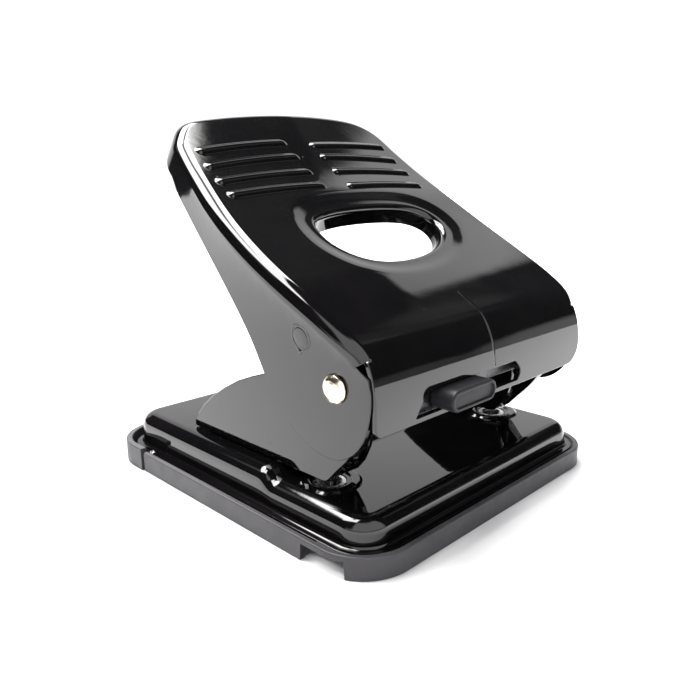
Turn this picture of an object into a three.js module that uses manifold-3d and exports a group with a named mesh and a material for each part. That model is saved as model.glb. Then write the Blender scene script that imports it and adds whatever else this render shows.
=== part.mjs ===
// Two-hole desk punch, pressed steel on a plastic chip tray.
// Millimetres, +Z up. Origin: centre of the tray outline, on the surface the punch stands on.
// X runs along the pivot line (left to right), -Y is the side the paper goes in, +Y is the free end of the lever.
import * as THREE from 'three';
import { mergeVertices } from 'three/addons/utils/BufferGeometryUtils.js';
import Module from 'manifold-3d';

const wasm = await Module();
wasm.setup();

// ---------------------------------------------------------------- driving dimensions
const HOLE_PITCH = 80;            // centre distance of the two punched holes
const PUNCH_Y = -31.2;            // line of the punch pins
const PIN_R = 2.75;               // punch pin radius (5.5 mm hole)

const TRAY_W = 116.8, TRAY_D = 124.1, TRAY_R = 15.5;   // outline of the tray
const TRAY_WALL = 1.7, TRAY_FLOOR = 1.5, TRAY_H = 6.5;
const SPLIT_Y = 39.6, SPLIT_GAP = 1.2;                 // slit between tray and rear bar
const REAR_H = 7.6;
const HINGE_Y = 42.6, HINGE_Z = 2.1;                   // tray hinge axis
const NOTCH_Y0 = -53.4, NOTCH_Y1 = -39.0, NOTCH_H = 4.7, NOTCH_DEPTH = 6.0;

const SHEET = 1.5;                                     // base plate sheet
const FLANGE_Z0 = 4.4, FLANGE_Z1 = 5.9;                // base plate flange, bottom and top
const FLANGE_HX = 55.6, FLANGE_HY = 59.2, FLANGE_R = 12.8;
const BODY_HX = 52.3, BODY_HY = 55.9, BODY_R = 8.5;    // raised part of the base plate
const FRONT_Z = 13.6, PAD_Z = 16.2, STEP_Y0 = -21.0, STEP_Y1 = -16.4;

const CHEEK_X = 46.0, CHEEK_IN_X = 34.0, CHEEK_T = 1.5;
const BR_Z = 16.5, WEB_T = 1.5;

const PIVOT_Y = -44.6, PIVOT_Z = 45.8;
const BAR_Y = -32.4, BAR_Z = 56.7, BAR_R = 3.0;
const HANDLE_X = 50.5, HANDLE_T = 1.4;
const CURTAIN_Y = -57.4, CURTAIN_Z = 35.6;
const WIN_X0 = -35.4, WIN_X1 = 14.0, WIN_Z0 = 36.7, WIN_Z1 = 43.5;
const BTN_X = -16.7, BTN_W = 20.0, BTN_H = 6.0, BTN_Z = 40.1, BTN_Y0 = -62.45;

const BRACKET_RIVET_Y = [-8, 12];

// ---------------------------------------------------------------- materials
const mat = (color, roughness, metalness) => new THREE.MeshStandardMaterial({ color, roughness, metalness });
const lacquer = () => mat(0x0b0b0d, 0.08, 0.0);
const plastic = () => mat(0x3c3b3f, 0.45, 0.0);
const steel = () => mat(0xb9b9bd, 0.28, 1.0);
const springSteel = () => mat(0x8d8f94, 0.32, 1.0);
const nickel = () => mat(0xd8cfc0, 0.15, 1.0);
const knobPlastic = () => mat(0x2b2b2e, 0.35, 0.0);

// ---------------------------------------------------------------- solid helpers
function toSolid(geometry) {
  let g = geometry.clone();
  g.deleteAttribute('normal');
  if (g.attributes.uv) g.deleteAttribute('uv');
  g = mergeVertices(g, 1e-4);
  const mesh = new wasm.Mesh({
    numProp: 3,
    vertProperties: new Float32Array(g.attributes.position.array),
    triVerts: new Uint32Array(g.index.array),
  });
  const solid = new wasm.Manifold(mesh);
  return solid;
}
function toGeometry(solid) {
  const m = solid.getMesh();
  const g = new THREE.BufferGeometry();
  const pos = new Float32Array((m.vertProperties.length / m.numProp) * 3);
  for (let i = 0; i < pos.length / 3; i++) {
    for (let k = 0; k < 3; k++) pos[i * 3 + k] = m.vertProperties[i * m.numProp + k];
  }
  g.setAttribute('position', new THREE.BufferAttribute(pos, 3));
  g.setIndex(new THREE.BufferAttribute(new Uint32Array(m.triVerts), 1));
  return g;
}
function fromTriangles(points, faces) {
  const g = new THREE.BufferGeometry();
  g.setAttribute('position', new THREE.BufferAttribute(new Float32Array(points.flat()), 3));
  // outward orientation: the signed volume has to be positive
  let vol = 0;
  for (const [a, b, c] of faces) {
    const A = points[a], B = points[b], C = points[c];
    vol += A[0] * (B[1] * C[2] - B[2] * C[1]) - A[1] * (B[0] * C[2] - B[2] * C[0]) + A[2] * (B[0] * C[1] - B[1] * C[0]);
  }
  const idx = vol > 0 ? faces : faces.map(([a, b, c]) => [a, c, b]);
  g.setIndex(idx.flat());
  return g;
}
const polyShape = (pts) => new THREE.Shape(pts.map(([x, y]) => new THREE.Vector2(x, y)));
function prismZ(pts, z0, z1) {
  const g = new THREE.ExtrudeGeometry(polyShape(pts), { depth: z1 - z0, bevelEnabled: false, steps: 1 });
  g.translate(0, 0, z0);
  return toSolid(g);
}
// outline given in (y, z), pulled along x
function prismX(pts, x0, x1) {
  const g = new THREE.ExtrudeGeometry(polyShape(pts), { depth: x1 - x0, bevelEnabled: false, steps: 1 });
  g.applyMatrix4(new THREE.Matrix4().makeBasis(new THREE.Vector3(0, 1, 0), new THREE.Vector3(0, 0, 1), new THREE.Vector3(1, 0, 0)));
  g.translate(x0, 0, 0);
  return toSolid(g);
}
// outline given in (x, z), pulled along y
function prismY(pts, y0, y1) {
  const g = new THREE.ExtrudeGeometry(polyShape(pts.map(([x, z]) => [z, x])), { depth: y1 - y0, bevelEnabled: false, steps: 1 });
  g.applyMatrix4(new THREE.Matrix4().makeBasis(new THREE.Vector3(0, 0, 1), new THREE.Vector3(1, 0, 0), new THREE.Vector3(0, 1, 0)));
  g.translate(0, y0, 0);
  return toSolid(g);
}
function box(x0, x1, y0, y1, z0, z1) {
  const g = new THREE.BoxGeometry(x1 - x0, y1 - y0, z1 - z0);
  g.translate((x0 + x1) / 2, (y0 + y1) / 2, (z0 + z1) / 2);
  return toSolid(g);
}
function cylX(r, x0, x1, y, z, seg = 32) {
  const g = new THREE.CylinderGeometry(r, r, x1 - x0, seg);
  g.rotateZ(-Math.PI / 2);
  g.translate((x0 + x1) / 2, y, z);
  return toSolid(g);
}
function cylZ(r, z0, z1, x, y, seg = 32) {
  const g = new THREE.CylinderGeometry(r, r, z1 - z0, seg);
  g.rotateX(Math.PI / 2);
  g.translate(x, y, (z0 + z1) / 2);
  return toSolid(g);
}
// profile [radius, height] turned about the vertical axis through (x, y)
function latheZ(profile, x, y, seg = 20) {
  const g = new THREE.LatheGeometry(profile.map(([r, h]) => new THREE.Vector2(r, h)), seg);
  g.rotateX(Math.PI / 2);
  g.translate(x, y, 0);
  return outward(toSolidAny(g));
}
// profile [radius, station along x] turned about the line through (y, z)
function latheX(profile, y, z, seg = 24) {
  const g = new THREE.LatheGeometry(profile.map(([r, h]) => new THREE.Vector2(r, h)), seg);
  g.rotateZ(-Math.PI / 2);
  g.translate(0, y, z);
  return outward(toSolidAny(g));
}
function toSolidAny(geometry) {
  let g = geometry.clone();
  g.deleteAttribute('normal');
  if (g.attributes.uv) g.deleteAttribute('uv');
  g = mergeVertices(g, 1e-4);
  const pos = g.attributes.position.array, idx = Array.from(g.index.array);
  const points = [];
  for (let i = 0; i < pos.length; i += 3) points.push([pos[i], pos[i + 1], pos[i + 2]]);
  const faces = [];
  for (let i = 0; i < idx.length; i += 3) {
    const [a, b, c] = [idx[i], idx[i + 1], idx[i + 2]];
    if (a !== b && b !== c && a !== c) faces.push([a, b, c]);
  }
  return fromTriangles(points, faces);
}
const outward = (g) => toSolid(g);

function roundedRect(hx, hy, r, n = 8, cx = 0, cy = 0) {
  const pts = [];
  for (const [sx, sy, a0] of [[1, 1, 0], [-1, 1, 90], [-1, -1, 180], [1, -1, 270]]) {
    for (let i = 0; i <= n; i++) {
      const a = (a0 + (90 * i) / n) * Math.PI / 180;
      pts.push([cx + sx * (hx - r) + r * Math.cos(a), cy + sy * (hy - r) + r * Math.sin(a)]);
    }
  }
  return pts;
}
// stack of convex loops [[x, y] ...] at rising heights, closed top and bottom
function loft(loops, heights) {
  const n = loops[0].length, points = [], faces = [];
  loops.forEach((loop, k) => loop.forEach(([x, y]) => points.push([x, y, heights[k]])));
  for (let k = 0; k < loops.length - 1; k++) {
    for (let i = 0; i < n; i++) {
      const a = k * n + i, b = k * n + ((i + 1) % n), c = a + n, d = b + n;
      faces.push([a, b, d], [a, d, c]);
    }
  }
  const cap = (k, flip) => {
    const c = points.length;
    const loop = loops[k];
    points.push([loop.reduce((s, p) => s + p[0], 0) / n, loop.reduce((s, p) => s + p[1], 0) / n, heights[k]]);
    for (let i = 0; i < n; i++) {
      const a = k * n + i, b = k * n + ((i + 1) % n);
      faces.push(flip ? [c, b, a] : [c, a, b]);
    }
  };
  cap(0, true);
  cap(loops.length - 1, false);
  return toSolid(fromTriangles(points, faces));
}
const union = (list) => list.slice(1).reduce((a, b) => a.add(b), list[0]);

const root = new THREE.Group();
function place(name, solid, material) {
  const geometry = toGeometry(solid);
  const mesh = new THREE.Mesh(geometry, material);
  mesh.name = name;
  root.add(mesh);
  return mesh;
}
const sides = [['left', -1], ['right', 1]];

// ---------------------------------------------------------------- chip tray and rear bar
function trayShell(height, grow) {
  const outer = prismZ(roundedRect(TRAY_W / 2 + grow, TRAY_D / 2 + grow, TRAY_R + grow, 8), 0, height);
  const inner = prismZ(roundedRect(TRAY_W / 2 - TRAY_WALL, TRAY_D / 2 - TRAY_WALL, TRAY_R - TRAY_WALL, 8), TRAY_FLOOR, height + 5);
  return outer.subtract(inner);
}
const EAR_X = [-47.5, -40.5], LUG_HALF = 3.5;
const PIN_SPAN = [-52.0, -36.0];
function mirrorX(range, s) { return s < 0 ? range : [-range[1], -range[0]]; }

let tray = trayShell(TRAY_H, 0).subtract(box(-80, 80, SPLIT_Y, 90, -5, 20));
tray = tray.add(box(-TRAY_W / 2 + 1, TRAY_W / 2 - 1, SPLIT_Y - 1.7, SPLIT_Y, 0.4, 3.9));
// low ledges along the side and front walls carry the edge of the steel base
for (const s of [-1, 1]) {
  tray = tray.add(box(...(s < 0 ? [-57.2, -53.6] : [53.6, 57.2]), -36, 34, 0.5, 4.0));
}
tray = tray.add(box(-34, 34, -60.8, -57.2, 0.5, 4.0));
for (const [, s] of sides) {
  const [e0, e1] = mirrorX(EAR_X, s);
  tray = tray.add(box(e0, e1, SPLIT_Y - 1.5, HINGE_Y, 0.55, 2.6));
  tray = tray.add(cylX(1.7, e0, e1, HINGE_Y, HINGE_Z, 24));
  tray = tray.subtract(cylX(0.95, e0 - 1, e1 + 1, HINGE_Y, HINGE_Z, 20));
  // finger notch in the lower edge of each side wall
  const nx0 = s < 0 ? -TRAY_W / 2 - 2 : TRAY_W / 2 - NOTCH_DEPTH, nx1 = s < 0 ? -TRAY_W / 2 + NOTCH_DEPTH : TRAY_W / 2 + 2;
  const yb = NOTCH_Y1, r = 2.6;
  const loop = s < 0
    ? [[nx0, NOTCH_Y0], [nx1, NOTCH_Y0], [nx1, yb - r], [nx1 - r, yb], [-TRAY_W / 2 + 1.2, yb], [-TRAY_W / 2 + 0.4, yb + 0.5], [nx0, yb + 1.2]]
    : [[nx1, NOTCH_Y0], [nx1, yb + 1.2], [TRAY_W / 2 - 0.4, yb + 0.5], [TRAY_W / 2 - 1.2, yb], [nx0 + r, yb], [nx0, yb - r], [nx0, NOTCH_Y0]];
  // a thin wall round the inner side of the notch keeps the tray closed
  const roof = s < 0 ? [-57.4, -TRAY_W / 2 + NOTCH_DEPTH + 1.3] : [TRAY_W / 2 - NOTCH_DEPTH - 1.3, 57.4];
  tray = tray.add(box(roof[0], roof[1], NOTCH_Y0 + 0.3, yb + 1.6, 0.4, NOTCH_H - 0.65));
  tray = tray.subtract(prismZ(loop, -2, NOTCH_H));
  const wallOnly = s < 0 ? [-TRAY_W / 2 - 2, -TRAY_W / 2 + TRAY_WALL] : [TRAY_W / 2 - TRAY_WALL, TRAY_W / 2 + 2];
  tray = tray.subtract(box(wallOnly[0], wallOnly[1], NOTCH_Y0, yb, -2, NOTCH_H));
}
place('chip_tray', tray, plastic());

let rear = trayShell(REAR_H, 0.4).subtract(box(-80, 80, -90, SPLIT_Y + SPLIT_GAP, -5, 20));
rear = rear.add(box(-30, 30, 57.4, 61, 0.5, 4.0));
for (const [, s] of sides) {
  const [e0, e1] = mirrorX(EAR_X, s);
  const c0 = e0 - 0.6, c1 = e1 + 0.6;
  rear = rear.add(box(c0 - LUG_HALF, c1 + LUG_HALF, SPLIT_Y + SPLIT_GAP + 0.1, HINGE_Y + 2.6, 0.3, 3.9));
  rear = rear.subtract(box(c0, c1, SPLIT_Y - 1, HINGE_Y + 2.3, -2, 6));
  const [p0, p1] = mirrorX(PIN_SPAN, s);
  rear = rear.subtract(cylX(0.95, Math.min(p0, p1) - 0.2, Math.max(p0, p1) + 0.2, HINGE_Y, HINGE_Z, 20));
  // screw boss
  rear = rear.add(cylZ(3.4, 0.6, 4.0, s * 46, 52.0, 24));
  rear = rear.subtract(cylZ(1.75, -1, 6, s * 46, 52.0, 20)).subtract(cylZ(2.9, -1, 1.9, s * 46, 52.0, 24));
}
place('tray_rear_bar', rear, plastic());
for (const [side, s] of sides) {
  const [p0, p1] = mirrorX(PIN_SPAN, s);
  place(`tray_hinge_pin_${side}`, cylX(0.75, p0, p1, HINGE_Y, HINGE_Z, 16), steel());
  place(`rear_bar_screw_${side}`, latheZ([[0, 0.5], [2.5, 0.5], [2.5, 1.55], [1.4, 1.55], [1.4, 7.6], [0.6, 8.4], [0, 8.4]], s * 46, 52.0, 14), steel());
}

// ---------------------------------------------------------------- base plate
function bodyLoops(off, yFront) {
  // off is the inward offset of the sheet's inner face, yFront gives the front line by height fraction
  const mk = (inset, r) => {
    const hx = BODY_HX - inset - off, hy = BODY_HY - inset - off, rr = Math.max(2.2, r - off);
    return roundedRect(hx, hy, rr, 6);
  };
  return mk;
}
function plateau(top, off) {
  const mk = bodyLoops(off);
  const heights = [FLANGE_Z0 - (off ? 3 : 0), FLANGE_Z1 + 0.6 - off * 0.3, top - 4.0 - off, top - 2.2 - off, top - 0.9 - off, top - 0.22 - off, top - off];
  const insets = [0, 0.15, 0.75, 1.35, 2.5, 4.0, 5.6];
  return loft(insets.map((i) => mk(i, BODY_R - 0.15 * i)), heights);
}
const stepCut = (off) => prismX([[-90, FRONT_Z - 30], [STEP_Y0 + off, FRONT_Z - 30], [STEP_Y0 + off, FRONT_Z - off], [STEP_Y0 + 0.9 + off, FRONT_Z + 0.2 - off], [STEP_Y0 + 2.3 + off, FRONT_Z + 1.3 - off], [STEP_Y1 - 0.9 + off, PAD_Z - 0.25 - off], [STEP_Y1 + off, PAD_Z - off], [STEP_Y1 + off, 60], [-90, 60]], -90, 90);
const outerBody = plateau(FRONT_Z, 0).add(plateau(PAD_Z, 0).subtract(stepCut(0)));
const innerBody = plateau(FRONT_Z, SHEET).add(plateau(PAD_Z, SHEET).subtract(stepCut(SHEET)));
let base = outerBody.add(prismZ(roundedRect(FLANGE_HX, FLANGE_HY, FLANGE_R, 8), FLANGE_Z0, FLANGE_Z1)).subtract(innerBody);
for (const s of [-1, 1]) {
  base = base.subtract(cylZ(4.45, 0, 30, s * HOLE_PITCH / 2, PUNCH_Y, 32));
  for (const y of BRACKET_RIVET_Y) base = base.subtract(cylZ(2.1, 0, 30, s * 40, y, 24));
  base = base.subtract(cylZ(1.75, 0, 8, s * 46, 52.0, 20).intersect(box(-60, 60, 40, 60, 3, 9)));
  // relief slot in the flange, in line with the slit of the tray
  base = base.subtract(s < 0 ? box(-60, -BODY_HX - 0.4, SPLIT_Y, SPLIT_Y + 0.9, 3, 5.9 + 1) : box(BODY_HX + 0.4, 60, SPLIT_Y, SPLIT_Y + 0.9, 3, 5.9 + 1));
}
place('base_plate', base, lacquer());

for (const [side, s] of sides) {
  place(`die_bush_${side}`, latheZ([[2.9, 9.6], [5.6, 9.6], [5.6, 11.75], [4.1, 11.75], [4.1, 13.55], [3.3, 13.55], [2.9, 13.2], [2.9, 9.6]], s * HOLE_PITCH / 2, PUNCH_Y, 24), steel());
}

// ---------------------------------------------------------------- brackets
const cheekOutline = [
  [-35.2, BR_Z], [26.6, BR_Z], [26.4, 18.4], [24.4, 21.4], [20.6, 25.3], [15.8, 29.1], [9.4, 33.2], [2.2, 37.0], [-4.5, 39.7], [-10, 41.6], [-15.5, 43.2], [-20, 43.9], [-30.8, 44.0],
  [-34.0, 45.0], [-35.9, 48.0], [-38.2, 51.6], [-41.2, 53.5], [-44.6, 54.1], [-48.0, 53.3], [-50.7, 51.2], [-52.3, 48.2], [-52.7, 44.6], [-51.9, 40.2], [-50.2, 35.4], [-47.8, 30.5], [-45.6, 27.1], [-43.2, 24.3], [-39.6, 20.6], [-36.6, 17.3],
];
// outline of the inner cheek: lower, it only carries the pin guide
const innerCheekOutline = [[-35.2, BR_Z], [20.0, BR_Z], [18.0, 20.4], [10, 26.4], [-2, 33.0], [-12, 37.6], [-20, 40.6], [-24.0, 41.4], [-38.0, 41.4], [-40.8, 40.0], [-42.4, 36.4], [-42.6, 30.8], [-41.6, 25.4], [-39.4, 20.6], [-36.6, 17.3]];
// turned-in lip along the front edge of the outer cheek
const lipFront = [[-36.9, 17.3], [-39.9, 20.6], [-43.5, 24.3], [-45.9, 27.1], [-48.1, 30.5], [-50.5, 35.4]];
const lip = [...lipFront, [-48.9, 35.9], [-46.6, 31.3], [-44.5, 28.0], [-42.3, 25.3], [-38.8, 21.6], [-35.7, 18.2]];
for (const [side, s] of sides) {
  const X = (a, b) => (s < 0 ? [-b, -a] : [a, b]);
  const [o0, o1] = X(CHEEK_X - CHEEK_T, CHEEK_X);
  const [i0, i1] = X(CHEEK_IN_X, CHEEK_IN_X + CHEEK_T);
  const [w0, w1] = X(CHEEK_IN_X + 0.5, CHEEK_X - 0.5);
  const [l0, l1] = X(CHEEK_X - 3.7, CHEEK_X - 0.01);
  let br = prismX(cheekOutline, o0, o1).add(prismX(innerCheekOutline, i0, i1)).add(box(w0, w1, -35.4, 20, BR_Z, BR_Z + WEB_T));
  br = br.add(prismX(lip, l0, l1));
  br = br.subtract(cylZ(3.05, BR_Z - 1, BR_Z + 3, s * 40, PUNCH_Y, 32));
  for (const y of BRACKET_RIVET_Y) br = br.subtract(cylZ(2.1, BR_Z - 1, BR_Z + 3, s * 40, y, 24));
  const [h0, h1] = X(CHEEK_X - 5, CHEEK_X + 5);
  br = br.subtract(cylX(2.9, h0, h1, PIVOT_Y, PIVOT_Z, 28));
  place(`bracket_${side}`, br, lacquer());
  BRACKET_RIVET_Y.forEach((y, k) => {
    place(`bracket_rivet_${side}_${k === 0 ? 'front' : 'rear'}`,
      latheZ([[0, 13.1], [2.2, 13.1], [2.9, 13.7], [2.9, 14.4], [1.8, 14.4], [1.8, 18.3], [3.2, 18.3], [3.0, 18.9], [2.2, 19.4], [1.1, 19.7], [0, 19.8]], s * 40, y, 14), steel());
  });

  // pin guide: folded plate between the cheeks
  const [g0, g1] = X(CHEEK_IN_X + CHEEK_T + 0.3, CHEEK_X - CHEEK_T - 0.3);
  let guide = box(g0, g1, -37.6, -24.8, 36.4, 38.0);
  guide = guide.add(box(g0, g0 + 1.2, -37.6, -24.8, 31.2, 37.0)).add(box(g1 - 1.2, g1, -37.6, -24.8, 31.2, 37.0));
  guide = guide.subtract(cylZ(3.05, 30, 40, s * 40, PUNCH_Y, 32));
  place(`pin_guide_${side}`, guide, steel());

  // punch pin: cupped cutting end, plain shank, domed head under the drive bar
  place(`punch_pin_${side}`, latheZ([[0, 18.6], [1.3, 18.35], [PIN_R, 17.2], [PIN_R, 51.5], [4.3, 51.5], [4.3, 52.6], [3.4, 53.15], [0, 53.35]], s * 40, PUNCH_Y, 20), steel());
  place(`spring_collar_${side}`, latheZ([[3.05, 49.9], [4.4, 49.9], [4.4, 51.2], [3.05, 51.2], [3.05, 49.9]], s * 40, PUNCH_Y, 20), steel());

  // return spring on the punch pin
  const turns = 3.25, R = 3.72, wire = 0.42, zA = 38.3 + wire, zB = 49.6 - wire;
  class Helix extends THREE.Curve {
    getPoint(t, target = new THREE.Vector3()) {
      const a = 2 * Math.PI * turns * t;
      // end turns are wound flatter
      const e = 0.10;
      const u = t < e ? 0.25 * t : t > 1 - e ? 1 - 0.25 * (1 - t) : 0.25 * e + (t - e) * (1 - 0.5 * e) / (1 - 2 * e);
      return target.set(s * 40 + R * Math.cos(a), PUNCH_Y + R * Math.sin(a), zA + (zB - zA) * u);
    }
  }
  const circle = new THREE.Shape();
  const n = 8;
  for (let i = 0; i < n; i++) {
    const a = (2 * Math.PI * i) / n;
    if (i === 0) circle.moveTo(wire * Math.cos(a), wire * Math.sin(a)); else circle.lineTo(wire * Math.cos(a), wire * Math.sin(a));
  }
  circle.closePath();
  const springGeometry = new THREE.ExtrudeGeometry(circle, { steps: 58, extrudePath: new Helix(), bevelEnabled: false });
  place(`return_spring_${side}`, toSolid(toSolidAny(springGeometry)), springSteel());

  // pivot: rivet with a flat round head outside, washer between handle and bracket
  const P = (list) => (s < 0 ? list.map(([r, x]) => [r, -x]) : list);
  place(`pivot_rivet_${side}`, latheX(P([[0, 43.0], [3.0, 43.0], [3.7, 43.5], [3.7, 44.2], [2.6, 44.2], [2.6, 50.8], [3.9, 50.8], [3.9, 51.7], [3.3, 52.3], [0, 52.4]]), PIVOT_Y, PIVOT_Z, 24), nickel());
  place(`pivot_washer_${side}`, latheX(P([[2.9, 46.3], [6.0, 46.3], [6.0, 48.8], [2.9, 48.8], [2.9, 46.3]]), PIVOT_Y, PIVOT_Z, 20), steel());
}

// ---------------------------------------------------------------- lever handle
// fold line between top plate and side flange, from the free end to the front edge, (y, z)
const fold = [[28.4, 108.8], [20.4, 102.6], [14.4, 98.0], [8.4, 93.8], [1.2, 89.0], [-6.0, 84.4], [-13.0, 80.1], [-20.0, 76.1], [-26.8, 72.4], [-33.5, 68.8], [-39.3, 65.8], [-45.0, 62.4], [-49.4, 59.7], [-53.0, 56.6], [-55.4, 52.9], [-56.8, 48.8], [CURTAIN_Y, 44.2], [CURTAIN_Y, 40.0], [CURTAIN_Y, CURTAIN_Z]];
// half width over the side flanges along y: widest at the waist, (y, half width)
const waist = [[-59, HANDLE_X], [-57, 50.7], [-55, 51.2], [-52, 52.6], [-47, 53.7], [-40, 54.4], [-33.5, 55.0], [-27, 55.3], [-20, 55.3], [-13, 55.0], [-6, 54.4], [1, 53.3], [8.4, 51.8], [14, 50.6], [20, 49.2], [26, 47.6], [31, 46.0], [44, 43.0]];
// lower outline of the flange from the rear corner round the lobe to the front edge, (y, z)
const lowLine = [[29.4, 98.6], [27.6, 95.2], [24.2, 91.9], [20.3, 88.6], [13.4, 82.2], [6.9, 75.8], [1.2, 69.6], [-4.0, 63.3], [-9.7, 55.7], [-14.3, 48.5], [-18.3, 41.5], [-21.9, 37.0], [-25.8, 33.3],
  [-29.8, 30.5], [-33.6, 28.4], [-37.4, 27.2], [-41.3, 26.8], [-45.1, 27.3], [-48.5, 28.8], [-51.5, 31.2], [-53.8, 34.4], [-55.3, 38.2], [-56.1, 42.4], [-56.1, 46.4], [-55.4, 50.0]];
const LOBE_Z = 50;                // the flange is flat below this height
const curve = new THREE.SplineCurve(fold.map(([y, z]) => new THREE.Vector2(y, z)));
const lowCurve = new THREE.SplineCurve(lowLine.map(([y, z]) => new THREE.Vector2(y, z)));
function table(list, v) {
  if (v <= list[0][0]) return list[0][1];
  for (let i = 1; i < list.length; i++) {
    const [a, fa] = list[i - 1], [b, fb] = list[i];
    if (v <= b) return fa + ((fb - fa) * (v - a)) / (b - a);
  }
  return list[list.length - 1][1];
}
const foldRising = [...fold.filter(([, z]) => z > 52)].reverse();
const halfWidth = (y) => table(waist, y);
function flangeX(y, z) {
  const zf = Math.max(table(foldRising, y), 53);
  const t = Math.min(1, Math.max(0, (z - LOBE_Z) / (zf - LOBE_Z)));
  return HANDLE_X + (halfWidth(y) - HANDLE_X) * Math.pow(t, 1.5);
}
// closed sheet from two grids of points, outer[i][j] and inner[i][j]
function sheet(outer, inner) {
  const NI = outer.length, NJ = outer[0].length, points = [], faces = [];
  const id = (layer, i, j) => (layer * NI + i) * NJ + j;
  for (const grid of [outer, inner]) for (const row of grid) for (const p of row) points.push(p);
  const quad = (a, b, c, d) => faces.push([a, b, c], [a, c, d]);
  for (let i = 0; i < NI - 1; i++) for (let j = 0; j < NJ - 1; j++) {
    quad(id(0, i, j), id(0, i, j + 1), id(0, i + 1, j + 1), id(0, i + 1, j));
    quad(id(1, i, j), id(1, i + 1, j), id(1, i + 1, j + 1), id(1, i, j + 1));
  }
  for (let i = 0; i < NI - 1; i++) {
    quad(id(0, i, 0), id(0, i + 1, 0), id(1, i + 1, 0), id(1, i, 0));
    quad(id(0, i + 1, NJ - 1), id(0, i, NJ - 1), id(1, i, NJ - 1), id(1, i + 1, NJ - 1));
  }
  for (let j = 0; j < NJ - 1; j++) {
    quad(id(0, 0, j + 1), id(0, 0, j), id(1, 0, j), id(1, 0, j + 1));
    quad(id(0, NI - 1, j), id(0, NI - 1, j + 1), id(1, NI - 1, j + 1), id(1, NI - 1, j));
  }
  return toSolid(fromTriangles(points, faces));
}
function normalAt(t) {
  const d = curve.getTangent(t);
  const n = new THREE.Vector2(d.y, -d.x);            // points up and forward, away from the inside
  if (n.dot(new THREE.Vector2(-0.55, 0.83)) < 0) n.negate();
  return [d, n];
}
function topSkin() {
  const NS = 28, NX = 12, outer = [], inner = [];
  for (let i = 0; i <= NS; i++) {
    const t = i === 0 ? 0 : i === 1 ? 0.011 : 0.011 + ((i - 1) / (NS - 1)) * (1 - 0.011);
    const p = curve.getPoint(t), [d, n] = normalAt(t);
    const w = halfWidth(p.x) - 0.6;
    const end = Math.max(0, Math.min(1, (p.x - 2) / 26.4)) ** 2;
    const curl = Math.min(1, Math.max(0, (p.x + 57.0) / 8));
    const a = [], b = [];
    for (let j = 0; j <= NX; j++) {
      const u = Math.sin(((-1 + (2 * j) / NX) * Math.PI) / 2 * 0.86) / Math.sin(Math.PI / 2 * 0.86);
      const out = end * 13.4 * (1 - Math.abs(u) ** 3);
      const lift = curl * (0.45 + 0.4 * (1 - u * u));
      // the edge of the free end is turned down
      const deep = i === 0 ? 5.0 : HANDLE_T;
      a.push([w * u, p.x + n.x * lift - d.x * out, p.y + n.y * lift - d.y * out]);
      b.push([w * u, p.x + n.x * (lift - deep) - d.x * out, p.y + n.y * (lift - deep) - d.y * out]);
    }
    outer.push(a);
    inner.push(b);
  }
  return sheet(outer, inner);
}
function flange(s) {
  const NT = 34, NK = 6, outer = [], inner = [];
  for (let i = 0; i <= NT; i++) {
    const t = i / NT;
    const tu = t * 0.862;                              // the side of the plate ends at the slit above the curtain
    const u = curve.getPointAt(tu), [, n] = normalAt(curve.getUtoTmapping(tu));
    const top = new THREE.Vector2(u.x - n.x * 0.5, u.y - n.y * 0.5), low = lowCurve.getPointAt(t);
    const a = [], b = [];
    for (let k = 0; k <= NK; k++) {
      const y = top.x + ((low.x - top.x) * k) / NK, z = top.y + ((low.y - top.y) * k) / NK;
      const x = flangeX(y, z);
      a.push([s * x, y, z]);
      b.push([s * (x - HANDLE_T), y, z]);
    }
    outer.push(a);
    inner.push(b);
  }
  return sheet(outer, inner);
}
let handle = topSkin();
for (const s of [-1, 1]) handle = handle.add(flange(s));
// thumb hole: D shaped, straight at the rear, with a turned-down lip
const holeTilt = Math.atan2(0.6, 1.0);
const holeC = [-15.2, 78.9];                        // (y, z) on the top plate
const dShape = (g) => {
  const pts = [];
  const R = 9.5 + g;
  const hw = 27.3 + g, rear = 13.2 + g, front = 13.4 + g;
  for (let i = 0; i <= 6; i++) { const a = (90 - 15 * i) * Math.PI / 180; pts.push([hw - R + R * Math.cos(a), rear - R + R * Math.sin(a)]); }
  for (let i = 1; i < 12; i++) { const a = (-180 * i / 12) * Math.PI / 180; pts.push([hw * Math.cos(a), (rear - R) + (front + rear - R) * Math.sin(a)]); }
  for (let i = 0; i <= 6; i++) { const a = (180 - 15 * i) * Math.PI / 180; pts.push([-hw + R + R * Math.cos(a), rear - R + R * Math.sin(a)]); }
  return pts;
};
function holePrism(g, d0, d1) {
  const geometry = new THREE.ExtrudeGeometry(polyShape(dShape(g)), { depth: d1 - d0, bevelEnabled: false, steps: 1 });
  geometry.translate(0, 0, d0);
  geometry.rotateX(holeTilt);
  geometry.translate(0, holeC[0], holeC[1]);
  return toSolid(geometry);
}
handle = handle.add(holePrism(1.4, -5.6, -0.1)).subtract(holePrism(0, -12, 12));
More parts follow.
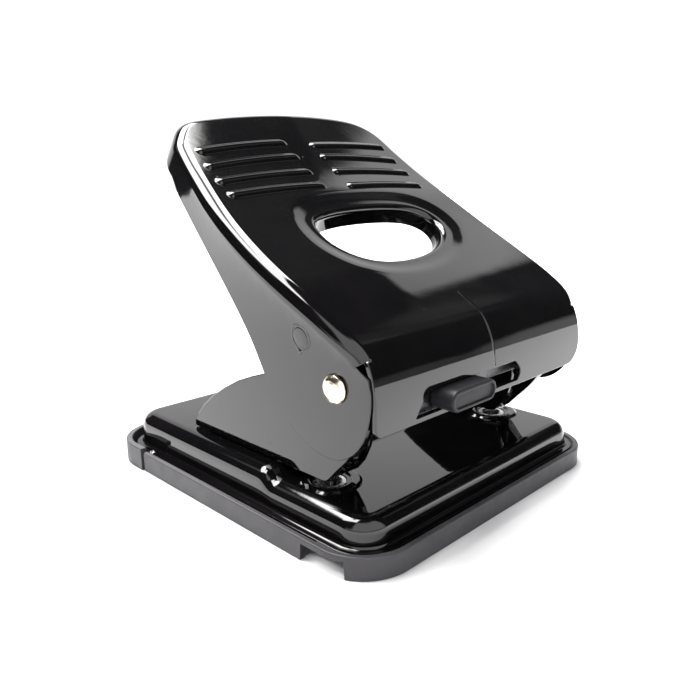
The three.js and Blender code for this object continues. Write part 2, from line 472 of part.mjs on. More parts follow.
// window for the lock button in the front curtain
const wr = 3.0;
const windowLoop = [[WIN_X0, WIN_Z0], [WIN_X1 - 1.2, WIN_Z0], [WIN_X1, WIN_Z0 + 1.2], [WIN_X1, WIN_Z1 - wr], [WIN_X1 - 0.9, WIN_Z1 - 0.9], [WIN_X1 - wr, WIN_Z1], [WIN_X0 + 7, WIN_Z1], [WIN_X0 + 3.4, WIN_Z1 - 1.3], [WIN_X0 + 1.1, WIN_Z1 - 3.6]];
handle = handle.subtract(prismY(windowLoop, -70, -50));
for (const s of [-1, 1]) {
  const [a, b] = s < 0 ? [-60, -40] : [40, 60];
  handle = handle.subtract(cylX(2.9, a, b, PIVOT_Y, PIVOT_Z, 28)).subtract(cylX(BAR_R + 0.3, a, b, BAR_Y, BAR_Z, 28));
}
place('handle', handle, lacquer());
place('drive_bar', latheX([[0, -51.9], [BAR_R - 0.5, -51.9], [BAR_R, -51.4], [BAR_R, 51.4], [BAR_R - 0.5, 51.9], [0, 51.9]], BAR_Y, BAR_Z, 28), steel());

// ---------------------------------------------------------------- handle lock
function stadium(cx, cz, w, h, n = 8) {
  const pts = [], r = h / 2;
  for (let i = 0; i <= n; i++) { const a = (-90 + 180 * i / n) * Math.PI / 180; pts.push([cx + w / 2 - r + r * Math.cos(a), cz + r * Math.sin(a)]); }
  for (let i = 0; i <= n; i++) { const a = (90 + 180 * i / n) * Math.PI / 180; pts.push([cx - w / 2 + r + r * Math.cos(a), cz + r * Math.sin(a)]); }
  return pts;
}
let button = prismY(stadium(BTN_X, BTN_Z, BTN_W, BTN_H), BTN_Y0, -55.2);
button = button.subtract(prismY(stadium(BTN_X, BTN_Z, BTN_W - 1.8, BTN_H - 1.8), BTN_Y0 - 1, BTN_Y0 + 0.5));
place('lock_button', button, knobPlastic());
let bolt = box(-33, -0.5, -54.9, -53.6, 36.4, 45.2).add(box(-26, -8, -54.9, -48.6, 36.4, 37.7));
place('lock_bolt', bolt, steel());
let guide = box(-40, 20, -53.2, -52.2, 38.6, 45.6).add(box(-40, -37.6, -55.4, -52.6, 38.6, 45.6)).add(box(17.6, 20, -55.4, -52.6, 38.6, 45.6));
place('lock_guide', guide, steel());

export default root;
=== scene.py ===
"""Looks of a two-hole desk punch: glossy stove-enamelled pressed steel on a satin plastic chip tray.
Row frame: metres, +Z up, X along the lever's pivot line, -Y is the paper side. Lengths below are in millimetres
until a mesh is made."""
import math
import bpy
import numpy as np
from mathutils import Matrix, Vector
from mathutils.geometry import delaunay_2d_cdt


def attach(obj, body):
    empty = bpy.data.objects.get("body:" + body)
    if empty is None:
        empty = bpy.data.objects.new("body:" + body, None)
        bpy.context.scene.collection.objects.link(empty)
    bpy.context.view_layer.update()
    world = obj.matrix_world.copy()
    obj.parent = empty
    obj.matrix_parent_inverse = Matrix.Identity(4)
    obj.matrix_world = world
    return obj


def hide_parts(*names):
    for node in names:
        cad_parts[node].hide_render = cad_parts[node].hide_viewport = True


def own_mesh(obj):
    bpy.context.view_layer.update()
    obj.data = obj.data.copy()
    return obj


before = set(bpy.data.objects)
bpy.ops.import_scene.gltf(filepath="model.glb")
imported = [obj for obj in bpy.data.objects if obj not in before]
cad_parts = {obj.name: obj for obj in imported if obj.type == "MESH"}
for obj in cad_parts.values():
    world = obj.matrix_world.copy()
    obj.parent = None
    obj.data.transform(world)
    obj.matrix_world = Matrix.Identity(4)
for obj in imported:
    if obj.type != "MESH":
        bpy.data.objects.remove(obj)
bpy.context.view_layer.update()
MM = 0.001
scene = bpy.context.scene
COL = scene.collection


# ------------------------------------------------------------------ camera
def make_camera():
    az, el, roll = math.radians(-45.412), math.radians(14.052), math.radians(-0.138)
    back = Vector((math.sin(az) * math.cos(el), -math.cos(az) * math.cos(el), math.sin(el)))
    right = Vector((math.cos(az), math.sin(az), 0.0))
    up = back.cross(right)
    r2 = right * math.cos(roll) + up * math.sin(roll)
    u2 = up * math.cos(roll) - right * math.sin(roll)
    m = Matrix.Identity(4)
    for i in range(3):
        m[i][0], m[i][1], m[i][2] = r2[i], u2[i], back[i]
    loc = Vector((0, 0, 0.040)) + back * 0.234524
    m.translation = loc
    cd = bpy.data.cameras.new("camera")
    cd.sensor_width = 36.0
    cd.lens = 687.636 / 700 * 36.0
    cd.shift_x = -0.807 / 700
    cd.shift_y = -5.057 / 700
    cd.clip_start = 0.01
    cd.clip_end = 20.0
    ob = bpy.data.objects.new("camera", cd)
    ob.matrix_world = m
    COL.objects.link(ob)
    scene.camera = ob


make_camera()


# ------------------------------------------------------------------ numeric helpers
def unit(a):
    return a / np.maximum(np.linalg.norm(a, axis=-1, keepdims=True), 1e-12)


def smooth(t):
    t = np.clip(t, 0, 1)
    return t * t * t * (t * (t * 6 - 15) + 10)


class BSpline:
    """Uniform cubic B-spline through the neighbourhood of its control points, by arc length from the first."""

    def __init__(self, ctrl, n=4000):
        c = np.array(ctrl, float)
        c = np.vstack([2 * c[0] - c[1], c, 2 * c[-1] - c[-2]])
        m = len(c) - 3
        u = np.linspace(0, m - 1e-9, n)
        k = u.astype(int)
        t = (u - k)[:, None]
        b = [(1 - t) ** 3 / 6, (3 * t ** 3 - 6 * t ** 2 + 4) / 6, (-3 * t ** 3 + 3 * t ** 2 + 3 * t + 1) / 6, t ** 3 / 6]
        self.p = sum(b[i] * c[k + i] for i in range(4))
        seg = np.linalg.norm(np.diff(self.p, axis=0), axis=1)
        self.s = np.concatenate([[0], np.cumsum(seg)])
        self.len = self.s[-1]

    def __call__(self, s):
        s = np.asarray(s, float)
        out = np.stack([np.interp(s, self.s, self.p[:, i]) for i in range(self.p.shape[1])], -1)
        d0 = (self.p[1] - self.p[0]) / (self.s[1] - self.s[0])
        d1 = (self.p[-1] - self.p[-2]) / (self.s[-1] - self.s[-2])
        out = out + np.minimum(s, 0)[..., None] * d0 + np.maximum(s - self.len, 0)[..., None] * d1
        return out


def spline_closed(ctrl, n):
    """Closed uniform cubic B-spline sampled at n points, even in arc length."""
    c = np.array(ctrl, float)
    m = len(c)
    u = np.linspace(0, m, 40 * m, endpoint=False)
    k = u.astype(int)
    t = (u - k)[:, None]
    b = [(1 - t) ** 3 / 6, (3 * t ** 3 - 6 * t ** 2 + 4) / 6, (-3 * t ** 3 + 3 * t ** 2 + 3 * t + 1) / 6, t ** 3 / 6]
    p = sum(b[i] * c[(k + i - 1) % m] for i in range(4))
    return resample(p, n, True)


def resample(p, n, closed):
    p = np.array(p, float)
    q = np.vstack([p, p[:1]]) if closed else p
    s = np.concatenate([[0], np.cumsum(np.linalg.norm(np.diff(q, axis=0), axis=1))])
    t = np.linspace(0, s[-1], n, endpoint=not closed)
    return np.stack([np.interp(t, s, q[:, i]) for i in range(q.shape[1])], -1)


def round_corners(pts, radii, step=0.35, closed=True):
    """Polyline with its corners replaced by arcs. radii is one number or one per point."""
    P = np.array(pts, float)
    n = len(P)
    radii = [radii] * n if np.isscalar(radii) else radii
    out = []
    for i in range(n):
        if not closed and i in (0, n - 1):
            out.append(P[i])
            continue
        a, b, c = P[i - 1], P[i], P[(i + 1) % n]
        u, v = unit(a - b), unit(c - b)
        r = radii[i]
        cosang = float(np.clip(u @ v, -1, 1))
        ang = math.acos(cosang)
        if r <= 0 or abs(math.pi - ang) < 0.02:
            out.append(b)
            continue
        d = min(r / math.tan(ang / 2), 0.49 * np.linalg.norm(a - b), 0.49 * np.linalg.norm(c - b))
        r = d * math.tan(ang / 2)
        cen = b + unit(u + v) * (r / math.sin(ang / 2))
        p0, p1 = b + u * d, b + v * d
        a0 = math.atan2(*(p0 - cen)[::-1])
        a1 = math.atan2(*(p1 - cen)[::-1])
        da = (a1 - a0 + math.pi) % (2 * math.pi) - math.pi
        k = max(3, int(abs(da) * r / step) + 1)
        for j in range(k + 1):
            w = a0 + da * j / k
            out.append(cen + r * np.array([math.cos(w), math.sin(w)]))
    return np.array(out)


def densify(p, step, closed=True):
    """Adds points on long segments, keeping every point that is there."""
    p = np.array(p, float)
    out = []
    n = len(p)
    for i in range(n if closed else n - 1):
        a, b = p[i], p[(i + 1) % n]
        k = max(1, int(math.ceil(np.linalg.norm(b - a) / step - 1e-6)))
        for j in range(k):
            out.append(a + (b - a) * j / k)
    if not closed:
        out.append(p[-1])
    return np.array(out)


def inside(poly, q):
    """Even-odd test of points q in a polygon."""
    poly = np.asarray(poly, float)
    x, y = q[:, 0], q[:, 1]
    r = np.zeros(len(q), bool)
    a = poly
    b = np.roll(poly, -1, 0)
    for (x0, y0), (x1, y1) in zip(a, b):
        c = (y0 > y) != (y1 > y)
        if c.any():
            xi = (x1 - x0) * (y[c] - y0) / (y1 - y0) + x0
            r[c] ^= x[c] < xi
    return r


def dist_to(poly, q, closed=True):
    """Distance of points q from a polyline."""
    poly = np.asarray(poly, float)
    a = poly if closed else poly[:-1]
    b = np.roll(poly, -1, 0) if closed else poly[1:]
    best = np.full(len(q), 1e9)
    for p0, p1 in zip(a, b):
        d = p1 - p0
        l2 = max(float(d @ d), 1e-12)
        t = np.clip(((q - p0) @ d) / l2, 0, 1)
        best = np.minimum(best, np.linalg.norm(q - p0 - t[:, None] * d, axis=1))
    return best


def fill(loops, pts, keep_clear=0.0):
    """Triangulates the inside of loops[0] without the other loops, with extra points pts. Returns 2-D points and triangles.
    The loops' own points come first, in order."""
    loops = [np.asarray(l, float) for l in loops]
    pts = np.asarray(pts, float).reshape(-1, 2)
    if len(pts):
        ok = inside(loops[0], pts)
        for h in loops[1:]:
            ok &= ~inside(h, pts)
        pts = pts[ok]
        if keep_clear > 0 and len(pts):
            ok = np.ones(len(pts), bool)
            for l in loops:
                ok &= dist_to(l, pts) > keep_clear
            pts = pts[ok]
    verts = np.vstack(loops + ([pts] if len(pts) else []))
    edges, k = [], 0
    for l in loops:
        n = len(l)
        edges += [(k + i, k + (i + 1) % n) for i in range(n)]
        k += n
    vo, _, fo, ov, _, _ = delaunay_2d_cdt([Vector(p) for p in verts], edges, [], 0, 1e-7, True)
    vo = np.array([tuple(p) for p in vo], float)
    back = np.arange(len(vo))
    fo = np.array([f for f in fo if len(f) == 3], int)
    cen = vo[fo].mean(1)
    ok = inside(loops[0], cen)
    for h in loops[1:]:
        ok &= ~inside(h, cen)
    fo = fo[ok]
    a, b, c = vo[fo[:, 0]], vo[fo[:, 1]], vo[fo[:, 2]]
    area = (b[:, 0] - a[:, 0]) * (c[:, 1] - a[:, 1]) - (b[:, 1] - a[:, 1]) * (c[:, 0] - a[:, 0])
    fo[area < 0] = fo[area < 0][:, ::-1]
    fo = fo[np.abs(area) > 1e-9]
    return vo, fo


def grid_points(x0, x1, dx, y0, y1, dy):
    xs = np.arange(x0, x1 + dx / 2, dx)
    ys = np.arange(y0, y1 + dy / 2, dy)
    X, Y = np.meshgrid(xs, ys)
    X = X + (np.arange(len(ys))[:, None] % 2) * dx * 0.5
    return np.stack([X.ravel(), Y.ravel()], 1)


# ------------------------------------------------------------------ surfaces with exact normals
class Surf:
    """Points, normals, directions of the sheet's inner side, and faces."""

    def __init__(self, v=None, n=None, f=None, o=None):
        self.v = np.zeros((0, 3)) if v is None else np.asarray(v, float)
        self.n = np.zeros((0, 3)) if n is None else np.asarray(n, float)
        self.o = self.n.copy() if o is None else np.asarray(o, float)
        self.f = [] if f is None else [tuple(int(i) for i in t) for t in f]

    def add(self, other):
        k = len(self.v)
        self.v = np.vstack([self.v, other.v])
        self.n = np.vstack([self.n, other.n])
        self.o = np.vstack([self.o, other.o])
        self.f += [tuple(i + k for i in t) for t in other.f]
        return self

    def mirrored(self):
        m = np.array([-1, 1, 1.0])
        return Surf(self.v * m, self.n * m, [t[::-1] for t in self.f], self.o * m)

    def weld(self, tol=2e-3):
        key = np.round(self.v / tol).astype(np.int64)
        # neighbours on both sides of a rounding line are joined through a small search
        order = {}
        ids = np.zeros(len(self.v), int)
        reps = []
        for i, k in enumerate(map(tuple, key)):
            hit = None
            for dx in (0, -1, 1):
                for dy in (0, -1, 1):
                    for dz in (0, -1, 1):
                        j = order.get((k[0] + dx, k[1] + dy, k[2] + dz))
                        if j is not None and np.abs(self.v[reps[j]] - self.v[i]).max() < tol:
                            hit = j
                            break
                    if hit is not None:
                        break
                if hit is not None:
                    break
            if hit is None:
                hit = len(reps)
                reps.append(i)
                order[k] = hit
            ids[i] = hit
        m = len(reps)
        n, o, v = np.zeros((m, 3)), np.zeros((m, 3)), np.zeros((m, 3))
        cnt = np.zeros(m)
        np.add.at(n, ids, self.n)
        np.add.at(o, ids, self.o)
        np.add.at(v, ids, self.v)
        np.add.at(cnt, ids, 1)
        self.v, self.n, self.o = v / cnt[:, None], unit(n), unit(o)
        fs = []
        for t in self.f:
            q = [ids[i] for i in t]
            q = [a for a, b in zip(q, q[1:] + q[:1]) if a != b]
            if len(q) >= 3:
                fs.append(tuple(int(a) for a in q))
        self.f = fs
        return self

    def loops(self):
        """Boundary loops, each in the direction of its faces."""
        half = set()
        for t in self.f:
            for a, b in zip(t, t[1:] + t[:1]):
                half.add((a, b))
        nxt = {a: b for a, b in half if (b, a) not in half}
        out = []
        while nxt:
            a = next(iter(nxt))
            loop = [a]
            b = nxt.pop(a)
            while b != a and b in nxt:
                loop.append(b)
                b = nxt.pop(b)
            out.append(loop)
        return out


def outward(S, loop, limit=1.6):
    """In-surface direction that points out of the surface along a boundary loop."""
    p = S.v[loop]
    e = unit(np.roll(p, -1, 0) - p)
    n = S.n[loop]
    m1 = unit(np.cross(e, n))
    m0 = np.roll(m1, 1, 0)
    m = m1 + m0
    l = np.linalg.norm(m, axis=1, keepdims=True)
    m = m / np.maximum(l, 1e-9)
    k = 1.0 / np.maximum((m * m1).sum(1, keepdims=True), 1.0 / limit)
    return m, k


def thicken(S, t, r=0.3, seg=3):
    """Closed sheet of thickness t under the surface, its edges rounded with radius r. Grows by r beyond the boundary."""
    nv = len(S.v)
    V = [S.v, S.v - S.o * t]
    N = [S.n, -S.o]
    F = list(S.f) + [tuple(i + nv for i in f[::-1]) for f in S.f]
    k = 2 * nv
    r = min(r, t * 0.5)
    for loop in S.loops():
        m, lim = outward(S, loop)
        n = S.o[loop]
        p = S.v[loop]
        rows = []
        idx = [np.array(loop)]
        for j in range(1, seg + 1):
            a = math.pi / 2 * j / seg
            rows.append((p + m * lim * r * math.sin(a) - n * r * (1 - math.cos(a)), m * math.sin(a) + n * math.cos(a)))
        if t > 2 * r + 1e-6:
            rows.append((p + m * lim * r - n * (t - r), m))
        for j in range(1, seg):
            a = math.pi / 2 * j / seg
            rows.append((p + m * lim * r * math.cos(a) - n * (t - r + r * math.sin(a)), m * math.cos(a) - n * math.sin(a)))
        for v, nn in rows:
            V.append(v)
            N.append(unit(nn))
            idx.append(np.arange(k, k + len(loop)))
            k += len(loop)
        idx.append(np.array(loop) + nv)
        L = len(loop)
        for a, b in zip(idx[:-1], idx[1:]):
            for i in range(L):
                j = (i + 1) % L
                F.append((int(a[j]), int(a[i]), int(b[i]), int(b[j])))
    out = Surf(np.vstack(V), unit(np.vstack(N)), F)
    return out


def sheet_from(P, uv, tris, eps=0.02):
    """Surface through P(u, v), with normals by differences. Triangles are counter-clockwise in (u, v)."""
    u, v = uv[:, 0], uv[:, 1]
    p = P(u, v)
    du = P(u + eps, v) - P(u - eps, v)
    dv = P(u, v + eps) - P(u, v - eps)
    return Surf(p, unit(np.cross(du, dv)), tris)


def tube_rows(rows, normals, closed, flip=False):
    """Quads between rows of points."""
    n = rows[0].shape[0]
    V = np.vstack(rows)
    N = np.vstack(normals)
    F = []
    for a in range(len(rows) - 1):
        for i in range(n if closed else n - 1):
            j = (i + 1) % n
            q = (a * n + i, a * n + j, (a + 1) * n + j, (a + 1) * n + i)
            F.append(q[::-1] if flip else q)
    return Surf(V, N, F)


def lathe(profile, seg=64, corner=0.12):
    """Profile [(radius, height) ...] turned about Z, sharp corners rounded by corner. Open or closed on the axis."""
    pr = round_corners(profile, [0 if p[0] < 1e-6 else corner for p in profile], step=corner / 2.2, closed=False)
    d = np.gradient(pr, axis=0)
    # slopes on each side keep straight runs straight
    nrm = unit(np.stack([d[:, 1], -d[:, 0]], 1))
    a = np.linspace(0, 2 * math.pi, seg, endpoint=False)
    rows, ns = [], []
    for (r, h), (nr, nh) in zip(pr, nrm):
        r = max(r, 1e-5)
        rows.append(np.stack([r * np.cos(a), r * np.sin(a), np.full(seg, h)], 1))
        ns.append(np.stack([nr * np.cos(a), nr * np.sin(a), np.full(seg, nh)], 1))
    S = tube_rows(rows, ns, True)
    return S


def to_object(name, S, body, mat, replaces=(), check=True):
    # collapsed corners and repeated faces from the edge rounding are left out
    faces, seen = [], set()
    for f in S.f:
        g = tuple(f[i] for i in range(len(f)) if f[i] != f[i - 1])
        key = tuple(sorted(g))
        if len(set(g)) < 3 or len(set(g)) < len(g) or key in seen:
            continue
        seen.add(key)
        faces.append(g)
    S.f = faces
    S.n[np.linalg.norm(S.n, axis=1) < 0.5] = (0, 0, 1.0)
    me = bpy.data.meshes.new(name)
    me.from_pydata([tuple(p) for p in S.v * MM], [], S.f)
    me.validate()
    me.update()
    me.polygons.foreach_set("use_smooth", [True] * len(me.polygons))
    me.normals_split_custom_set_from_vertices([tuple(q) for q in S.n])
    ob = bpy.data.objects.new(name, me)
    COL.objects.link(ob)
    me.materials.append(mat)
    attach(ob, body)
    if replaces:
        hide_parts(*replaces)
    if check:
        half = set()
        for t in S.f:
            for a, b in zip(t, t[1:] + t[:1]):
                half.add((a, b))
        bad = sum(1 for a, b in half if (b, a) not in half)
        if bad:
            print("OPEN EDGES", name, bad)
    return ob


# ------------------------------------------------------------------ materials
def new_mat(name):
    m = bpy.data.materials.new(name)
    m.use_nodes = True
    nt = m.node_tree
    nt.nodes.clear()
    out = nt.nodes.new("ShaderNodeOutputMaterial")
    b = nt.nodes.new("ShaderNodeBsdfPrincipled")
    nt.links.new(b.outputs[0], out.inputs[0])
    return m, nt, b


def noise(nt, scale, detail=2.0, rough=0.5, coord=None, seed=0.0):
    t = nt.nodes.new("ShaderNodeTexNoise")
    t.inputs["Scale"].default_value = scale
    t.inputs["Detail"].default_value = detail
    t.inputs["Roughness"].default_value = rough
    if coord is None:
        c = nt.nodes.new("ShaderNodeTexCoord")
        coord = c.outputs["Object"]
    if seed:
        mp = nt.nodes.new("ShaderNodeMapping")
        mp.inputs["Location"].default_value = (seed, seed * 0.7, -seed)
        nt.links.new(coord, mp.inputs["Vector"])
        coord = mp.outputs[0]
    nt.links.new(coord, t.inputs["Vector"])
    return t


def ramp(nt, fac, stops):
    r = nt.nodes.new("ShaderNodeValToRGB")
    e = r.color_ramp.elements
    while len(e) > 1:
        e.remove(e[-1])
    e[0].position, e[0].color = stops[0][0], (*stops[0][1], 1)
    for p, c in stops[1:]:
        x = e.new(p)
        x.color = (*c, 1)
    nt.links.new(fac, r.inputs[0])
    return r


def g3(v):
    return (v, v, v)


def bump(nt, height, strength, distance, normal=None):
    b = nt.nodes.new("ShaderNodeBump")
    b.inputs["Strength"].default_value = strength
    b.inputs["Distance"].default_value = distance
    nt.links.new(height, b.inputs["Height"])
    if normal is not None:
        nt.links.new(normal, b.inputs["Normal"])
    return b


def lacquer(name="black_lacquer", seed=0.0):
    m, nt, b = new_mat(name)
    # stove enamel: near-black film, faint cloudiness, dust nibs, light orange peel
    n1 = noise(nt, 90.0, 3.0, 0.6, seed=seed + 1.3)
    c = ramp(nt, n1.outputs["Fac"], [(0.35, (0.0012, 0.0011, 0.0013)), (0.7, (0.0022, 0.0019, 0.0021))])
    nt.links.new(c.outputs[0], b.inputs["Base Color"])
    smudge = noise(nt, 38.0, 4.0, 0.62, seed=seed + 4.1)
    rr = ramp(nt, smudge.outputs["Fac"], [(0.42, g3(0.035)), (0.62, g3(0.06)), (0.78, g3(0.10))])
    nt.links.new(rr.outputs[0], b.inputs["Roughness"])
    b.inputs["Specular IOR Level"].default_value = 0.5
    b.inputs["IOR"].default_value = 1.52
    b.inputs["Coat Weight"].default_value = 0.0
    peel = noise(nt, 420.0, 2.0, 0.5, seed=seed + 2.2)
    wav = noise(nt, 60.0, 1.0, 0.4, seed=seed + 7.7)
    b1 = bump(nt, wav.outputs["Fac"], 0.10, 0.0005)
    b2 = bump(nt, peel.outputs["Fac"], 0.05, 0.0001, b1.outputs[0])
    nibs = nt.nodes.new("ShaderNodeTexVoronoi")
    nibs.feature = "F1"
    nibs.inputs["Scale"].default_value = 130.0
    tc = nt.nodes.new("ShaderNodeTexCoord")
    nt.links.new(tc.outputs["Object"], nibs.inputs["Vector"])
    spot = nt.nodes.new("ShaderNodeMapRange")
    spot.inputs["From Min"].default_value = 0.0
    spot.inputs["From Max"].default_value = 0.035
    spot.inputs["To Min"].default_value = 1.0
    spot.inputs["To Max"].default_value = 0.0
    nt.links.new(nibs.outputs["Distance"], spot.inputs["Value"])
    b3 = bump(nt, spot.outputs[0], 0.5, 0.0001, b2.outputs[0])
    nt.links.new(b3.outputs[0], b.inputs["Normal"])
    return m


def satin_plastic(name, base, rough, grain=2600.0, depth=0.25, level=0.5):
    m, nt, b = new_mat(name)
    n1 = noise(nt, 45.0, 4.0, 0.6, seed=3.0)
    c = ramp(nt, n1.outputs["Fac"], [(0.3, tuple(x * 0.86 for x in base)), (0.75, tuple(min(1, x * 1.12) for x in base))])
    nt.links.new(c.outputs[0], b.inputs["Base Color"])
    n2 = noise(nt, 160.0, 3.0, 0.6, seed=9.0)
    rr = ramp(nt, n2.outputs["Fac"], [(0.3, g3(rough - 0.06)), (0.7, g3(rough + 0.07))])
    nt.links.new(rr.outputs[0], b.inputs["Roughness"])
    gr = noise(nt, grain, 3.0, 0.6, seed=5.0)
    b1 = bump(nt, gr.outputs["Fac"], depth, 0.00008)
    nt.links.new(b1.outputs[0], b.inputs["Normal"])
    b.inputs["IOR"].default_value = 1.5
    b.inputs["Specular IOR Level"].default_value = level
    return m


def metal(name, base, rough, turned=True, scale=900.0):
    m, nt, b = new_mat(name)
    b.inputs["Metallic"].default_value = 1.0
    n1 = noise(nt, 220.0, 4.0, 0.6, seed=1.0)
    c = ramp(nt, n1.outputs["Fac"], [(0.3, tuple(x * 0.84 for x in base)), (0.72, tuple(min(1, x * 1.05) for x in base))])
    nt.links.new(c.outputs[0], b.inputs["Base Color"])
    n2 = noise(nt, scale, 2.0, 0.5, seed=2.0)
    rr = ramp(nt, n2.outputs["Fac"], [(0.3, g3(max(0.05, rough - 0.08))), (0.7, g3(rough + 0.08))])
    nt.links.new(rr.outputs[0], b.inputs["Roughness"])
    b1 = bump(nt, n2.outputs["Fac"], 0.12, 0.00004)
    nt.links.new(b1.outputs[0], b.inputs["Normal"])
    return m


M_LACQ = lacquer()
M_TRAY = satin_plastic("tray_plastic", (0.032, 0.0305, 0.0335), 0.47, level=0.32)
M_KNOB = satin_plastic("knob_plastic", (0.012, 0.012, 0.0135), 0.38, level=0.12)
M_STEEL = metal("bright_steel", (0.62, 0.62, 0.63), 0.26)
M_SPRING = metal("spring_steel", (0.42, 0.42, 0.44), 0.28)
M_NICKEL = metal("nickel_plate", (0.74, 0.64, 0.52), 0.16)
# bright steel made near-black: painted shade for the lock parts inside the handle
M_STEEL_PAINTED_SHADE = metal("steel_darkened_painted_shade", (0.075, 0.075, 0.082), 0.34)

# ------------------------------------------------------------------ lever handle
R_FOLD = 3.5
T_H = 1.3
HX = 50.6
RIM = 0.28
FOLD = [(42.0, 119.8), (31.0, 111.0), (20.4, 102.6), (14.4, 98.0), (8.4, 93.8), (1.2, 89.0), (-6.0, 84.4), (-13.0, 80.1), (-20.0, 76.1),
        (-26.8, 72.4), (-33.5, 68.8), (-39.3, 65.8), (-45.0, 62.4), (-49.4, 59.7), (-53.0, 56.6), (-55.4, 52.9), (-56.8, 48.8),
        (-57.4, 44.2), (-57.5, 40.0), (-57.4, 35.6)]
# half width over the outer faces of the turned-down sides, against y: the plate is widest at its waist
WAIST = BSpline([(-62, 50.6), (-59, 50.6), (-57, 50.8), (-55, 51.5), (-52, 52.8), (-47, 54.0), (-40, 54.7), (-33.5, 55.1), (-27, 55.4), (-20, 55.4),
                 (-13, 55.1), (-6, 54.5), (1, 53.4), (8.4, 51.9), (14, 50.7), (20, 49.4), (26, 47.8), (34, 45.4), (44, 43.0)])


def half_width(y):
    return np.interp(y, WAIST.p[:, 0], WAIST.p[:, 1])


def make_profile():
    c = np.array(FOLD, float)
    s = BSpline(c)
    d = unit(np.gradient(s.p, axis=0))
    n = np.stack([d[:, 1], -d[:, 0]], 1)           # left of the travel towards the front is up and out
    n = np.where((n @ np.array([-0.5, 0.85]))[:, None] < 0, -n, n)
    # the measured line is the middle of the fold arc; the plate's own edge lies a little further out
    curl = smooth((s.p[:, 0] + 56.5) / 6.0)[:, None]
    q = s.p + n * (0.2 * R_FOLD) * curl
    out = BSpline.__new__(BSpline)
    out.p = q
    seg = np.linalg.norm(np.diff(q, axis=0), axis=1)
    out.s = np.concatenate([[0], np.cumsum(seg)])
    out.len = out.s[-1]
    return out


PROF = make_profile()


def prof_dir(s, eps=0.4):
    d = unit(PROF(s + eps) - PROF(s - eps))
    n = np.stack([d[..., 1], -d[..., 0]], -1)
    n = np.where((n @ np.array([-0.55, 0.83]))[..., None] < 0, -n, n)
    return d, n


def s_at_y(y):
    i = np.argmin(np.abs(PROF.p[:, 0] - y))
    return PROF.s[i]


def s_at_z(z):
    i = np.argmin(np.abs(PROF.p[:, 1] - z))
    return PROF.s[i]


CROWN = -0.3
S_FADE0, S_FADE1 = s_at_y(-41.0), s_at_y(-56.3)


def crown(x, s):
    c = CROWN * (1 - smooth((s - S_FADE0) / (S_FADE1 - S_FADE0)))
    u = np.abs(x) / (half_width(PROF(s)[..., 0]) - R_FOLD)
    return c * (1 - u ** 2.4)


LOBE_Z = 50.0


def flange_x(y, z):
    """Half width of the side flange: flat at the pivot, flaring out to the waist of the plate."""
    y, z = np.asarray(y, float), np.asarray(z, float)
    zf = np.interp(y, PROF.p[::-1, 0], PROF.p[::-1, 1])
    zf = np.maximum(zf, 52.0)
    t = np.clip((z - LOBE_Z) / (zf - LOBE_Z), 0, 1.0)
    return HX + (half_width(y) - HX) * t ** 1.9


def flange_normal(y, z, e=0.3):
    gy = (flange_x(y + e, z) - flange_x(y - e, z)) / (2 * e)
    gz = (flange_x(y, z + e) - flange_x(y, z - e)) / (2 * e)
    return unit(np.stack([np.ones_like(gy), -gy, -gz], -1))


# ribs: two columns of four pressed ridges
RIB_W, RIB_H = 2.05, 0.8
RIBS = [(-42.6, 27.6, -7.4, 21.6), (-43.6, 34.9, -7.0, 29.0), (-44.0, 42.1, -7.2, 37.2), (-44.0, 48.6, -7.0, 44.5),
        (6.4, 22.6, 40.6, 22.4), (6.9, 28.9, 40.6, 30.4), (6.6, 36.8, 40.7, 38.0), (6.6, 45.0, 40.2, 45.9)]


def ribs(x, s):
    x, s = np.broadcast_arrays(np.asarray(x, float), np.asarray(s, float))
    h = np.zeros(x.shape)
    for x0, s0, x1, s1 in RIBS:
        dx, ds = x1 - x0, s1 - s0
        t = np.clip(((x - x0) * dx + (s - s0) * ds) / (dx * dx + ds * ds), 0, 1)
        # ridges bow towards the free end between their ends
        bow = 0.7 * 4 * t * (1 - t)
        d = np.sqrt((x - x0 - t * dx) ** 2 + (s - s0 - t * ds + bow) ** 2)
        h = h + np.where(d < RIB_W, RIB_H * np.cos(np.pi / 2 * np.clip(d / RIB_W, 0, 1)) ** 1.6, 0)
    return h


# thumb hole: a D in (x, s), s along the plate from its free end
HOLE_R = 2.0
HOLE_CTRL = [(-25.9, 66.3), (-24.6, 61.4), (-20.4, 57.9), (-13.6, 55.8), (-5.5, 54.6), (3.0, 54.1), (12.0, 54.1), (20.4, 54.7), (26.8, 56.3),
             (31.0, 59.4), (32.7, 63.4), (32.2, 68.0), (29.4, 72.7), (24.4, 77.0), (17.6, 80.8), (10.0, 83.4), (1.5, 85.0),
             (-7.0, 85.3), (-14.4, 84.2), (-20.0, 81.4), (-23.9, 77.1), (-26.0, 71.8)]
HOLE_LINE = spline_closed(HOLE_CTRL, 150)
S_HOLE = 70.0


def hole_ring(g, n=150):
    """Hole outline at the start of its lip, moved outwards by g."""
    t = unit(np.roll(HOLE_LINE, -1, 0) - np.roll(HOLE_LINE, 1, 0))
    m = np.stack([t[:, 1], -t[:, 0]], 1)
    if ((m * (HOLE_LINE - np.array([3.0, 69.0]))).sum(1)).mean() < 0:
        m = -m
    return resample(HOLE_LINE + m * g, n, True)


def dish(x, s):
    """The plate is drawn down a little round the thumb hole."""
    shp = np.broadcast(x, s).shape
    q = np.stack([np.broadcast_to(x, shp).ravel(), np.broadcast_to(s, shp).ravel()], 1)
    near = (np.abs(q[:, 0] - 3) < 40) & (np.abs(q[:, 1] - S_HOLE) < 27)
    d = np.full(len(q), 99.0)
    if near.any():
        d[near] = dist_to(HOLE_LINE, q[near])
        d[near] = np.where(inside(HOLE_LINE, q[near]), -d[near], d[near])
    return (0.75 * (1 - smooth(d / 8.0)) + 0.05 * np.clip(-d, 0, 3)).reshape(shp)


MARK_S0, MARK_S1 = s_at_y(-44.2), s_at_z(44.6)


